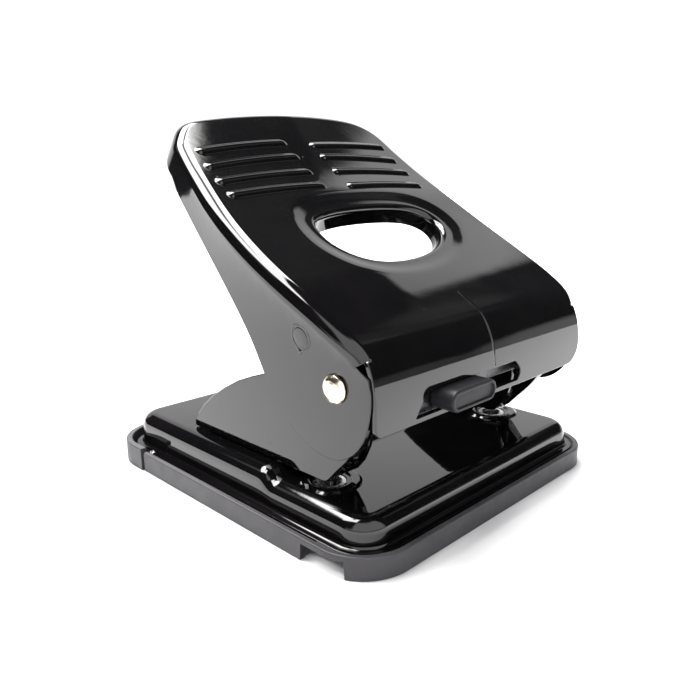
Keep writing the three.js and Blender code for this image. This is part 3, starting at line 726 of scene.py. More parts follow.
def mark(x, s):
    """Fine scribed line down the middle of the front curl."""
    on = smooth((s - MARK_S0 + 0.6) / 1.2) * (1 - smooth((s - MARK_S1) / 1.2))
    return 0.16 * on * np.exp(-(x / 0.22) ** 2)


def P_top(x, s, detail=True):
    x, s = np.asarray(x, float), np.asarray(s, float)
    p = PROF(s)
    _, n = prof_dir(s)
    h = crown(x, s)
    if detail:
        h = h + ribs(x, s) - dish(x, s) - mark(x, s)
    else:
        h = h - dish(x, s)
    return np.stack([x + 0 * s, p[..., 0] + n[..., 0] * h, p[..., 1] + n[..., 1] * h], -1)


S_SLIT = s_at_z(54.9)
S_END = s_at_y(25.6)          # start of the fold at the side, at the free end
BULGE = 10.4


def edge_x(s):
    """Half width of the plate where the side fold begins, so that the flange ends up at its own half width."""
    w = half_width(PROF(s)[..., 0])
    xs = w - R_FOLD
    e = 0.05
    slope = (crown(xs - e, s) - crown(xs + e, s)) / (2 * e)
    return w - R_FOLD + R_FOLD * slope / np.sqrt(1 + slope ** 2)


def make_handle():
    # outline of the plate in (x, s), right half, from the slit to the middle of the free end
    s_line = np.arange(S_SLIT, S_END + 9.0, -1.6)
    side = [(float(edge_x(s)), float(s)) for s in s_line]
    right = [(float(edge_x(S_END + q)), S_END + q) for q in (12.0, 9.0, 6.0, 3.0)]
    left = [(-x, s) for x, s in right]
    ctrl = right + [(44.6, 19.2), (43.6, 14.6), (41.2, 11.2), (37.6, 8.6), (32.0, 7.1), (24.0, 6.3), (15.0, 6.0), (6.0, 6.4), (-3.0, 7.1), (-12.0, 8.4),
                    (-20.0, 9.7), (-28.0, 11.5), (-34.4, 13.0), (-39.2, 14.9), (-41.6, 17.8), (-43.9, 21.2)] + left[::-1]
    end = BSpline(ctrl, 1500)
    arc_end = resample(end.p, 170, False)
    side_r = np.array(side)
    side_r = side_r[side_r[:, 1] > arc_end[0, 1] + 0.6]
    side_l = side_r[::-1] * np.array([-1, 1])
    fold_line = np.vstack([side_r, arc_end, side_l])       # right slit -> end -> left slit
    flat_s = S_END + 7.5                                    # the flange lies along the side up to here
    nr = int((fold_line[:len(fold_line) // 2, 1] > flat_s).sum())
    # fold strip
    p = P_top(fold_line[:, 0], fold_line[:, 1], False)
    eps = 0.05
    du = P_top(fold_line[:, 0] + eps, fold_line[:, 1], False) - P_top(fold_line[:, 0] - eps, fold_line[:, 1], False)
    dv = P_top(fold_line[:, 0], fold_line[:, 1] + eps, False) - P_top(fold_line[:, 0], fold_line[:, 1] - eps, False)
    n = unit(np.cross(dv, du))
    n = np.where((n @ np.array([0, -0.55, 0.83]))[:, None] < 0, -n, n)
    T = unit(np.gradient(p, axis=0))
    m = unit(np.cross(n, T))
    m = np.where((m * (p - np.array([0, -20, 80]))).sum(1)[:, None] < 0, -m, m)
    _, pn = prof_dir(fold_line[:, 1])
    sg = np.sign(fold_line[:, 0])
    flare = (flange_x(p[:, 1] + 0.5 * pn[:, 0] - 3.0 * pn[:, 0], p[:, 2] + 0.5 * pn[:, 1] - 3.0 * pn[:, 1])
             - flange_x(p[:, 1] - 0.5 * pn[:, 0] - 3.0 * pn[:, 0], p[:, 2] - 0.5 * pn[:, 1] - 3.0 * pn[:, 1]))
    flare = flare * smooth((fold_line[:, 1] - S_END - 3.0) / 6.0)
    d = -unit(np.stack([sg * flare, pn[:, 0], pn[:, 1]], 1))
    # arc plane is spanned by n and the outward direction; it ends square to d
    m = unit(m - (m * n).sum(1)[:, None] * n)
    dd = unit(d - (d * T).sum(1)[:, None] * T)
    psi = np.arccos(np.clip((m * dd).sum(1), -1, 1))
    cen = p - n * R_FOLD
    rows, nrm = [], []
    K = 14
    for k in range(K + 1):
        a = psi * k / K
        e = n * np.cos(a)[:, None] + m * np.sin(a)[:, None]
        rows.append(cen + e * R_FOLD)
        nrm.append(e)
    # side part of the last row lies flat in the flange plane
    L = len(fold_line)
    for i in list(range(nr)) + list(range(L - nr, L)):
        q = rows[-1][i]
        sx = math.copysign(1, q[0])
        q[0] = sx * float(flange_x(q[1], q[2]))
        nrm[-1][i] = flange_normal(q[1], q[2]) * np.array([sx, 1, 1])
    # turned-down wall round the corners and the free end
    depth_c, depth_m = 6.0, 2.6
    a0, a1 = nr, L - nr - 1
    t = (np.arange(a0, a1 + 1) - a0) / (a1 - a0)
    fall = smooth(np.minimum(t, 1 - t) / 0.17)
    depth = depth_c + (depth_m - depth_c) * fall
    base_row, base_n = rows[-1][a0:a1 + 1].copy(), nrm[-1][a0:a1 + 1].copy()
    wall_rows, wall_n = [base_row], [base_n]
    KW = 8
    for k in range(1, KW + 1):
        wall_rows.append(base_row + dd[a0:a1 + 1] * (depth * k / KW)[:, None])
        wall_n.append(base_n)
    S = Surf()
    strip = tube_rows(rows, nrm, False)
    S.add(strip)
    wall = tube_rows(wall_rows, wall_n, False)
    S.add(wall)
    # side flanges: flat, filled between the fold, the corner wall and the cut outline
    right_top = rows[-1][:nr + 1][:, 1:]                       # (y, z) slit -> corner
    corner_edge = np.array([w[0][1:] for w in wall_rows])      # down the corner wall
    low = [(0, 0), (24.2, 91.9), (20.3, 88.6), (13.4, 82.2), (6.9, 75.8), (1.2, 69.6), (-4.0, 63.3), (-9.7, 55.7), (-14.3, 48.5), (-18.3, 41.5), (-21.9, 37.0), (-25.8, 33.3),
           (-29.8, 30.5), (-33.6, 28.5), (-37.4, 27.3), (-41.3, 26.8), (-45.1, 27.2), (-48.5, 28.7), (-51.5, 31.2), (-53.8, 34.4),
           (-55.2, 38.2), (-56.0, 42.4), (-56.1, 46.4), (-55.2, 50.0)]
    lowc = BSpline([tuple(corner_edge[-1])] + low[1:], 1500)
    low_pts = resample(lowc.p, 150, False)
    low_pts = low_pts[(np.arange(len(low_pts)) > 2)]
    outline = np.vstack([right_top, corner_edge[1:], low_pts])
    rivet = np.array([(-44.6 + 2.75 * math.cos(w), 45.8 + 2.75 * math.sin(w)) for w in np.linspace(0, 2 * math.pi, 40, endpoint=False)])
    uv, tri = fill([outline, rivet], grid_points(-58, 28, 4.0, 24, 110, 4.0), 1.2)
    fx = flange_x(uv[:, 0], uv[:, 1])
    # along its upper edge the flange takes the fold's and the corner wall's own points
    rim = np.vstack([rows[-1][:nr + 1], [w[0] for w in wall_rows[1:]]])
    fx[:len(rim)] = rim[:, 0]
    fn = flange_normal(uv[:, 0], uv[:, 1])
    rim_n = np.vstack([nrm[-1][:nr + 1], [w[0] for w in wall_n[1:]]])
    fn[:len(rim_n)] = rim_n
    zf = np.interp(uv[:, 0], PROF.p[::-1, 0], PROF.p[::-1, 1])
    soft = 1 - 0.8 * smooth((zf - 5.0 - uv[:, 1]) / 5.0)
    soft[:len(rim_n)] = 1.0
    fn = unit(fn * np.stack([np.ones_like(soft), np.ones_like(soft), soft], 1))
    fl = Surf(np.stack([fx, uv[:, 0], uv[:, 1]], 1), fn, tri)
    S.add(fl)
    S.add(fl.mirrored())
    # plate: outline = fold line + curtain
    xb = 49.7
    s_bot = s_at_z(35.9)
    notch = 0.9
    cur_r = [(edge_x(S_SLIT), S_SLIT), (edge_x(S_SLIT) + 0.1, S_SLIT + notch), (xb, S_SLIT + notch + 0.1)]
    lower = round_corners([(xb, S_SLIT + notch + 0.1), (xb, s_bot), (-xb, s_bot), (-xb, S_SLIT + notch + 0.1)], [0, 6.5, 2.2, 0], 0.5, False)
    cur = np.vstack([[(-cur_r[1][0], cur_r[1][1])], ])
    loop = np.vstack([fold_line,
                      [(-cur_r[1][0], cur_r[1][1])],
                      densify(lower[::-1], 1.2, False),
                      [(cur_r[1][0], cur_r[1][1])]])
    # window of the lock button, on the flat part of the curtain
    zs = lambda z: s_at_z(z)
    win = [(-35.4, 36.9), (12.6, 36.9), (14.0, 38.6), (14.0, 40.4), (11.0, 43.5), (-28.4, 43.5), (-31.6, 42.4)]
    win = round_corners(win, [0.3, 1.4, 2.5, 2.6, 3.0, 3.0, 4.0], 0.4)
    win = np.array([(x, zs(z)) for x, z in densify(win, 1.2)])
    hole = hole_ring(0.0, 150)
    # points: coarse everywhere, fine near ribs, hole, mark
    pts = [grid_points(-52, 52, 2.4, 4.0, s_bot, 1.5)]
    P = pts[0]
    keep = np.ones(len(P), bool)
    for x0, s0, x1, s1 in RIBS:
        keep &= dist_to(np.array([(x0, s0), (0.5 * (x0 + x1), 0.5 * (s0 + s1) - 0.7), (x1, s1)]), P, False) > 2.9
    keep &= ~((np.abs(P[:, 0]) < 1.3) & (P[:, 1] > MARK_S0 - 2) & (P[:, 1] < MARK_S1 + 2))
    near = (np.abs(P[:, 0]) < 46) & (np.abs(P[:, 1] - S_HOLE) < 30)
    dd_ = np.full(len(P), 99.0)
    dd_[near] = dist_to(hole, P[near])
    keep &= dd_ > 8.6
    pts = [P[keep]]
    for x0, s0, x1, s1 in RIBS:
        L_ = math.hypot(x1 - x0, s1 - s0)
        u_ = np.array([x1 - x0, s1 - s0]) / L_
        w_ = np.array([-u_[1], u_[0]])
        t_ = np.arange(0, L_ + 0.01, 0.95)
        for off in (-2.6, -2.2, -1.8, -1.4, -1.0, -0.6, -0.2, 0.2, 0.6, 1.0, 1.4, 1.8, 2.2, 2.6):
            q = np.array([x0, s0]) + t_[:, None] * u_ + off * w_
            q[:, 1] -= 0.7 * 4 * (t_ / L_) * (1 - t_ / L_)
            pts.append(q)
        for c_, sg in ((np.array([x0, s0]), -1), (np.array([x1, s1]), 1)):
            for rr in (0.4, 0.8, 1.2, 1.6, 2.0, 2.5):
                w = np.linspace(-math.pi / 2 + 0.1, math.pi / 2 - 0.1, 4 + int(rr * 5))
                pts.append(c_ + sg * (rr * np.cos(w) + 0.15)[:, None] * u_ + (rr * np.sin(w))[:, None] * w_)
    for off in (-1.2, -0.8, -0.5, -0.3, -0.15, 0.0, 0.15, 0.3, 0.5, 0.8, 1.2):
        ss = np.arange(MARK_S0 - 1.4, MARK_S1 + 1.4, 0.8)
        pts.append(np.stack([np.full(len(ss), off), ss], 1))
    for g, k in ((0.9, 150), (1.9, 140), (3.0, 130), (4.3, 120), (5.8, 110), (7.4, 100)):
        pts.append(hole_ring(g, k))
    uv, tri = fill([loop[::-1], win, hole], np.vstack(pts), 0.28)
    top = sheet_from(lambda x, s: P_top(x, s), uv, tri)
    flat = sheet_from(lambda x, s: P_top(x, s, False), uv, tri)
    if (top.n @ np.array([0, -0.55, 0.83])).mean() < 0:
        top.n, flat.n = -top.n, -flat.n
        top.f = [t[::-1] for t in top.f]
    top.o = flat.n
    # loop over the fold strip that does nothing; its faces are turned with all the others below
    for part in (strip,):
        pass
    S2 = Surf().add(top)
    # lip of the thumb hole
    nl = len(hole)
    hv = P_top(hole[:, 0], hole[:, 1])
    eps = 0.03
    du = P_top(hole[:, 0] + eps, hole[:, 1]) - P_top(hole[:, 0] - eps, hole[:, 1])
    dv = P_top(hole[:, 0], hole[:, 1] + eps) - P_top(hole[:, 0], hole[:, 1] - eps)
    hn = unit(np.cross(dv, du))
    hn = np.where((hn @ np.array([0, -0.55, 0.83]))[:, None] < 0, -hn, hn)
    hT = unit(np.roll(hv, -1, 0) - np.roll(hv, 1, 0))
    hm = unit(np.cross(hn, hT))
    hm = np.where((hm * (hv.mean(0) - hv)).sum(1)[:, None] < 0, -hm, hm)
    _, pn = prof_dir(np.full(1, S_HOLE))
    dn = -np.array([0, pn[0, 0], pn[0, 1]])
    psi = np.arccos(np.clip(hm @ dn, -1, 1))
    cen = hv - hn * HOLE_R
    rws, nns = [], []
    for k in range(11):
        a = psi * k / 10
        e = hn * np.cos(a)[:, None] + hm * np.sin(a)[:, None]
        rws.append(cen + e * HOLE_R)
        nns.append(e)
    # below the curl the lip stands straight, a shade steeper, so a fine line runs round it
    hin = unit(hm - (hm @ dn)[:, None] * dn)
    lean = unit(dn + 0.16 * hin)
    ln = unit(hin - (hin * lean).sum(1)[:, None] * lean)
    rws.append(rws[10] + lean * 0.12)
    nns.append(unit(nns[10] + ln))
    for h_ in (0.25, 1.5, 2.8, 4.1):
        rws.append(rws[10] + lean * h_)
        nns.append(ln)
    lip = tube_rows(rws, nns, True)
    S.add(S2)
    S.add(lip)
    # every face looks along its normals
    V, N = S.v, S.n
    fixed = []
    for t in S.f:
        a, b, c = V[t[0]], V[t[1]], V[t[2]]
        g = np.cross(b - a, c - a)
        if len(t) == 4:
            g = g + np.cross(c - a, V[t[3]] - a)
        fixed.append(t if g @ (N[t[0]] + N[t[1]] + N[t[2]]) > 0 else t[::-1])
    S.f = fixed
    S.weld()
    print("handle boundary loops", [len(l) for l in S.loops()])
    return settle(thicken(S, T_H, RIM, 3))


def settle(S):
    """Tilts the shading normals of the plate's upper right half slightly towards +x and +y, and those of a band on its
    left the other way; no point moves.
    """
    V, N = S.v, S.n
    xb = np.interp(V[:, 2], [86, 92, 97, 102, 107, 113], [-20, -13, -3, 1, 4, 7])
    w = smooth((V[:, 0] - xb + 2.2) / 4.4) * smooth((V[:, 2] - 85.0) / 9.0) * smooth((N[:, 2] - 0.35) / 0.25)
    v = smooth((-16.0 - V[:, 0]) / 9.0) * smooth((V[:, 2] - 60.0) / 3.0) * smooth((73.0 - V[:, 2]) / 4.0) * smooth((N[:, 2] - 0.35) / 0.25)
    S.n = unit(N + (w - 0.8 * v)[:, None] * np.array([0.046, 0.046, 0.0]))
    return S


handle = to_object("lever_handle_skin", make_handle(), "lever", M_LACQ, ["handle"])


# ------------------------------------------------------------------ more shape helpers
def flip_to_normals(S):
    """Turns every face to the side its normals point to."""
    V, N = S.v, S.n
    out = []
    for t in S.f:
        a, b, c = V[t[0]], V[t[1]], V[t[2]]
        g = np.cross(b - a, c - a)
        if len(t) == 4:
            g = g + np.cross(c - a, V[t[3]] - a)
        out.append(t if g @ sum(N[i] for i in t) > 0 else t[::-1])
    S.f = out
    return S


def plate(outline, holes, axis, at, t, grid=4.0, r=0.25, sign=1.0, seg=3):
    """Flat sheet with rounded edges. Its good face lies at 'at' on the axis and looks along sign * axis; the outline is the finished size."""
    outline = np.asarray(outline, float)
    def shrink(p, d):
        n = len(p)
        t1 = unit(np.roll(p, -1, 0) - p)
        t0 = np.roll(t1, 1, 0)
        area = 0.5 * np.sum(p[:, 0] * np.roll(p[:, 1], -1) - np.roll(p[:, 0], -1) * p[:, 1])
        s = 1 if area > 0 else -1
        n1, n0 = np.stack([-t1[:, 1], t1[:, 0]], 1) * s, np.stack([-t0[:, 1], t0[:, 0]], 1) * s
        m = unit(n1 + n0)
        k = np.minimum(1 / np.maximum((m * n1).sum(1, keepdims=True), 0.3), 2.5)
        return p + m * k * d
    r = min(r, t * 0.48)
    lo = shrink(outline, r)
    hs = [shrink(np.asarray(h, float), -r) for h in holes]
    lo_, hi_ = lo.min(0), lo.max(0)
    uv, tri = fill([lo] + hs, grid_points(lo_[0], hi_[0], grid, lo_[1], hi_[1], grid), grid * 0.35)
    n = np.zeros((len(uv), 3))
    p = np.zeros((len(uv), 3))
    if axis == 0:
        p[:, 0], p[:, 1], p[:, 2] = at, uv[:, 0], uv[:, 1]
    elif axis == 1:
        p[:, 0], p[:, 1], p[:, 2] = uv[:, 0], at, uv[:, 1]
    else:
        p[:, 0], p[:, 1], p[:, 2] = uv[:, 0], uv[:, 1], at
    n[:, axis] = sign
    return thicken(flip_to_normals(Surf(p, n, tri)), t, r, seg)


def ring(cx, cy, r, n=40):
    a = np.linspace(0, 2 * math.pi, n, endpoint=False)
    return np.stack([cx + r * np.cos(a), cy + r * np.sin(a)], 1)


def turned(profile, origin, axis=(0, 0, 1), seg=64, corner=0.12):
    """Turned body: profile [(radius, station)] along axis through origin."""
    S = lathe(profile, seg, corner)
    z = np.array(axis, float) / np.linalg.norm(axis)
    x = np.cross((0, 1, 0) if abs(z[1]) < 0.9 else (1, 0, 0), z)
    x /= np.linalg.norm(x)
    y = np.cross(z, x)
    R = np.stack([x, y, z], 1)
    S.v = S.v @ R.T + np.array(origin, float)
    S.n = S.n @ R.T
    S.o = S.n.copy()
    S = flip_out(S)
    return S


def flip_out(S):
    V = S.v
    vol = 0.0
    for t in S.f:
        a = V[t[0]]
        for i in range(1, len(t) - 1):
            vol += float(np.dot(a, np.cross(V[t[i]], V[t[i + 1]])))
    if vol < 0:
        S.f = [t[::-1] for t in S.f]
    a, b, c = (V[[t[k] for t in S.f]] for k in range(3))
    g = np.cross(b - a, c - a)
    s = (g * S.n[[t[0] for t in S.f]]).sum()
    if s < 0:
        S.n = -S.n
    return S


def box_plate(x0, x1, y0, y1, z0, z1, r=0.25, corner=0.4):
    """Sheet or block with rounded edges, as a thick plate along its thinnest side."""
    d = [x1 - x0, y1 - y0, z1 - z0]
    k = int(np.argmin(d))
    if k == 0:
        o = round_corners([(y0, z0), (y1, z0), (y1, z1), (y0, z1)], corner, 0.3)
        return plate(densify(o, 2.5), [], 0, x1, d[0], 3.0, r)
    if k == 1:
        o = round_corners([(x0, z0), (x1, z0), (x1, z1), (x0, z1)], corner, 0.3)
        return plate(densify(o, 2.5), [], 1, y1, d[1], 3.0, r)
    o = round_corners([(x0, y0), (x1, y0), (x1, y1), (x0, y1)], corner, 0.3)
    return plate(densify(o, 2.5), [], 2, z1, d[2], 3.0, r)


# ------------------------------------------------------------------ base plate
HOLE_X, PUNCH_Y = 40.0, -31.2
FRONT_Z, PAD_Z = 13.6, 16.2


def top_z(y):
    return FRONT_Z + (PAD_Z - FRONT_Z) * smooth((np.asarray(y, float) + 21.2) / 6.6)


def rounded_loop(hx, hy, r, step):
    """Counter-clockwise rounded rectangle with outward normals; the offset of every point along its normal keeps the loop parallel."""
    P, N = [], []
    na = max(8, int(r * math.pi / 2 / (step * 0.5)))
    for sx, sy, a0 in ((1, 1, 0), (-1, 1, 90), (-1, -1, 180), (1, -1, 270)):
        c = np.array([sx * (hx - r), sy * (hy - r)])
        for i in range(na + 1):
            a = math.radians(a0 + 90 * i / na)
            d = np.array([math.cos(a), math.sin(a)])
            P.append(c + r * d)
            N.append(d)
    P, N = np.array(P), np.array(N)
    out_p, out_n = [], []
    for i in range(len(P)):
        j = (i + 1) % len(P)
        L = np.linalg.norm(P[j] - P[i])
        k = max(1, int(math.ceil(L / step)))
        for q in range(k):
            out_p.append(P[i] + (P[j] - P[i]) * q / k)
            out_n.append(N[i] if L > step else N[i])
    return np.array(out_p), unit(np.array(out_n))


def boss(x, y):
    """Raised ring round each die."""
    d = np.minimum(np.hypot(x - HOLE_X, y - PUNCH_Y), np.hypot(x + HOLE_X, y - PUNCH_Y))
    up = 0.75 * (1 - smooth((d - 7.9) / 1.5))
    well = 0.55 * (1 - smooth((d - 5.5) / 0.9))
    return up - well


def pressing(x, y):
    """Shallow pressed fields that stiffen the rear pad and the paper table."""
    q = np.maximum(np.abs(x) - 22.0, 0) ** 2 + np.maximum(np.abs(y - 22.0) - 12.0, 0) ** 2
    return -0.6 * (1 - smooth((np.sqrt(q) - 3.0) / 2.5))


def H_base(x, y):
    return top_z(y) + boss(x, y) + pressing(x, y)


def make_base():
    bp, bn = rounded_loop(53.2, 56.1, 9.0, 1.1)
    bp[:, 1] -= 0.8
    prof = [(-2.1, 0.0, 5.9), (-0.95, 0.0, 5.9)]
    for a in (15, 32, 50, 68, 85):
        w = math.radians(a)
        prof.append((-0.9 + 0.95 * math.sin(w), 0.0, 5.9 + 0.95 * (1 - math.cos(w))))
    prof += [(0.12, 0.0, 7.6), (0.22, 0.0, 8.2)]
    rx, rz = 4.7, 4.4
    for i in range(15):
        w = math.radians(90 * i / 14)
        e = 0.92
        prof.append((0.3 + rx * (1 - math.cos(w) ** e), 1.0, -rz + rz * math.sin(w) ** e))
    prof.append((5.6, 1.0, 0.0))
    # each station: inset from the foot line, share of the table height, height above that
    rows = []
    y0 = bp[:, 1]
    for ins, k, h in prof:
        p = bp - bn * ins
        z = h + k * top_z(p[:, 1])
        # relief slot in the flange, in line with the slit of the tray
        if ins < -0.9:
            z = z - 1.3 * (np.abs(p[:, 1] - 39.9) < 0.5) * (np.abs(p[:, 0]) > 50)
        rows.append(np.column_stack([p, z]))
    R = np.array(rows)
    dk = np.gradient(R, axis=0)
    dt = np.roll(R, -1, 1) - np.roll(R, 1, 1)
    n = unit(np.cross(dt, -dk))
    n = np.where(n[..., 2:3] < -0.02, -n, n)
    n = np.where(((n[..., :2] * bn[None]).sum(-1) < -0.3)[..., None], -n, n)
    # the innermost row lies in the table surface
    def surf_n(p):
        e = 0.05
        gx = (H_base(p[:, 0] + e, p[:, 1]) - H_base(p[:, 0] - e, p[:, 1])) / (2 * e)
        gy = (H_base(p[:, 0], p[:, 1] + e) - H_base(p[:, 0], p[:, 1] - e)) / (2 * e)
        return unit(np.stack([-gx, -gy, np.ones(len(p))], 1))
    n[-1] = surf_n(R[-1])
    n[:2] = np.where(np.abs(R[:2, :, 2:3] - 5.9) < 1e-6, np.array([0, 0, 1.0]), n[:2])
    S = tube_rows(list(R), list(n), True)
    inner = R[-1][:, :2]
    dies = [ring(s * HOLE_X, PUNCH_Y, 4.9, 64) for s in (-1, 1)]
    pts = [grid_points(-50, 50, 2.6, -54, 54, 2.6)]
    P = pts[0]
    dd = np.minimum(np.hypot(P[:, 0] - HOLE_X, P[:, 1] - PUNCH_Y), np.hypot(P[:, 0] + HOLE_X, P[:, 1] - PUNCH_Y))
    keep = (dd > 11.0) & ~((P[:, 1] > -22.6) & (P[:, 1] < -13.4))
    pts = [P[keep]]
    st = grid_points(-50, 50, 2.4, -22.2, -13.8, 0.65)
    dd = np.minimum(np.hypot(st[:, 0] - HOLE_X, st[:, 1] - PUNCH_Y), np.hypot(st[:, 0] + HOLE_X, st[:, 1] - PUNCH_Y))
    pts.append(st[dd > 10.6])
    for s in (-1, 1):
        for rr in np.arange(5.2, 10.4, 0.32):
            pts.append(ring(s * HOLE_X, PUNCH_Y, rr, 72))
    for rr, kk in ((2.8, 1), (3.4, 1), (4.1, 1), (4.8, 1), (5.6, 1)):
        o = round_corners([(-22 - rr, 10 - rr), (22 + rr, 10 - rr), (22 + rr, 34 + rr), (-22 - rr, 34 + rr)], rr, 0.8)
        pts.append(densify(o, 1.6))
    uv, tri = fill([inner] + dies, np.vstack(pts), 0.3)
    z = H_base(uv[:, 0], uv[:, 1])
    z[:len(inner)] = R[-1][:, 2]
    p = np.column_stack([uv, z])
    nn = surf_n(p)
    T = Surf(p, nn, tri)
    T.o = unit(nn * 0.25 + np.array([0, 0, 1.0]))
    S.add(T)
    S = flip_to_normals(S)
    S.weld(1e-3)
    return thicken(S, 1.4, 0.22, 3)


to_object("base_plate_skin", make_base(), "base", M_LACQ, ["base_plate"])
for side, s in (("left", -1), ("right", 1)):
    die = turned([(2.9, 9.6), (5.6, 9.6), (5.6, 11.75), (4.6, 11.75), (4.6, 13.6), (3.5, 13.6), (2.9, 13.1), (2.9, 9.6)], (s * HOLE_X, PUNCH_Y, 0), corner=0.15)
    to_object(f"die_bush_{side}_skin", die, "base", M_STEEL, [f"die_bush_{side}"], check=False)


# ------------------------------------------------------------------ chip tray and rear bar
TW, TD, TR, TT = 58.4, 62.05, 15.5, 1.8
SPLIT_Y, SPLIT_GAP = 39.6, 1.2
N0, N1, NH = -53.4, -39.0, 4.7


def tray_path(y_cut, grow, front=True):
    """Outline points and normals of the tray from the cut round the front, or round the rear."""
    p, n = rounded_loop(TW + grow, TD + grow, TR + grow, 0.9)
    keep = p[:, 1] < y_cut if front else p[:, 1] > y_cut
    i = np.where(keep & ~np.roll(keep, 1))[0][0]
    m = int(keep.sum())
    idx = (i + np.arange(m)) % len(p)
    p, n = p[idx], n[idx]
    a = p[0] + (p[0] - p[1]) / max(abs(p[0][1] - p[1][1]), 1e-6) * abs(p[0][1] - y_cut)
    b = p[-1] + (p[-1] - p[-2]) / max(abs(p[-1][1] - p[-2][1]), 1e-6) * abs(p[-1][1] - y_cut)
    # extra stations at the notch jambs
    P = np.vstack([[a], p, [b]])
    N = np.vstack([[n[0]], n, [n[-1]]])
    if front:
        extra = [q for y in (N0, N1) for q in (y - 0.6, y - 0.3, y - 0.12, y, y + 0.12, y + 0.3, y + 0.6)]
        s = np.concatenate([[0], np.cumsum(np.linalg.norm(np.diff(P, axis=0), axis=1))])
        add = []
        for y in extra:
            for j in range(len(P) - 1):
                if (P[j, 1] - y) * (P[j + 1, 1] - y) < 0:
                    add.append(s[j] + (s[j + 1] - s[j]) * (y - P[j, 1]) / (P[j + 1, 1] - P[j, 1]))
        t = np.sort(np.concatenate([s, add]))
        P2 = np.stack([np.interp(t, s, P[:, k]) for k in range(2)], 1)
        N2 = unit(np.stack([np.interp(t, s, N[:, k]) for k in range(2)], 1))
        P, N = P2, N2
    return P, N


def sweep_wall(P, N, height, thick, bottom):
    """Upright wall along a path, its four edges rounded, capped at both ends. bottom is a height per station."""
    r = 0.45
    sec = []                      # (offset inwards, share from bottom or top, height offset, normal out, normal up)
    for a in (180, 205, 230, 255, 270):
        w = math.radians(a)
        sec.append((r + r * math.cos(w), 0, r + r * math.sin(w), -math.cos(w) * -1, math.sin(w)))
    S_rows, S_n = [], []
    def st(off, z, no, nz):
        S_rows.append(np.column_stack([P - N * off[:, None] if np.ndim(off) else P - N * off, z]))
        v = np.column_stack([N * no, np.full(len(P), nz)])
        S_n.append(unit(v))
    zt = np.full(len(P), height)
    zb = bottom
    rb = 0.3
    for a in np.linspace(0, 90, 5):                # outer bottom edge to outer face
        w = math.radians(a)
        st(rb - rb * math.sin(w), zb + rb - rb * math.cos(w), math.sin(w), -math.cos(w))
    for k in range(1, 6):
        st(0.0, zb + rb + (zt - r - zb - rb) * k / 6, 1, 0)
    for a in np.linspace(0, 90, 6):                # outer top edge
        w = math.radians(a)
        st(r - r * math.cos(w), zt - r + r * math.sin(w), math.cos(w), math.sin(w))
    for a in np.linspace(0, 90, 6):                # inner top edge
        w = math.radians(a)
        st(thick - r + r * math.sin(w), zt - r + r * math.cos(w), -math.sin(w), math.cos(w))
    for k in range(1, 4):
        st(thick, zt - r + (zb + rb - zt + r) * k / 4, -1, 0)
    for a in np.linspace(0, 90, 4):
        w = math.radians(a)
        st(thick - rb + rb * math.cos(w), zb + rb - rb * math.sin(w), -math.cos(w), -math.sin(w))
    rows = np.array(S_rows + [S_rows[0]])
    nrm = np.array(S_n + [S_n[0]])
    R = rows.transpose(1, 0, 2)[:, :-1]
    M = nrm.transpose(1, 0, 2)[:, :-1]
    S = tube_rows(list(R), list(M), True)
    m = R.shape[1]
    for e, d in ((0, -1), (len(P) - 1, 1)):
        k = len(S.v)
        t = P[1] - P[0] if e == 0 else P[-1] - P[-2]
        nn = np.array([t[0], t[1], 0.0]) * d
        nn /= np.linalg.norm(nn)
        S.add(Surf(R[e], np.tile(nn, (m, 1)), [tuple(range(m))]))
    return flip_to_normals(S)


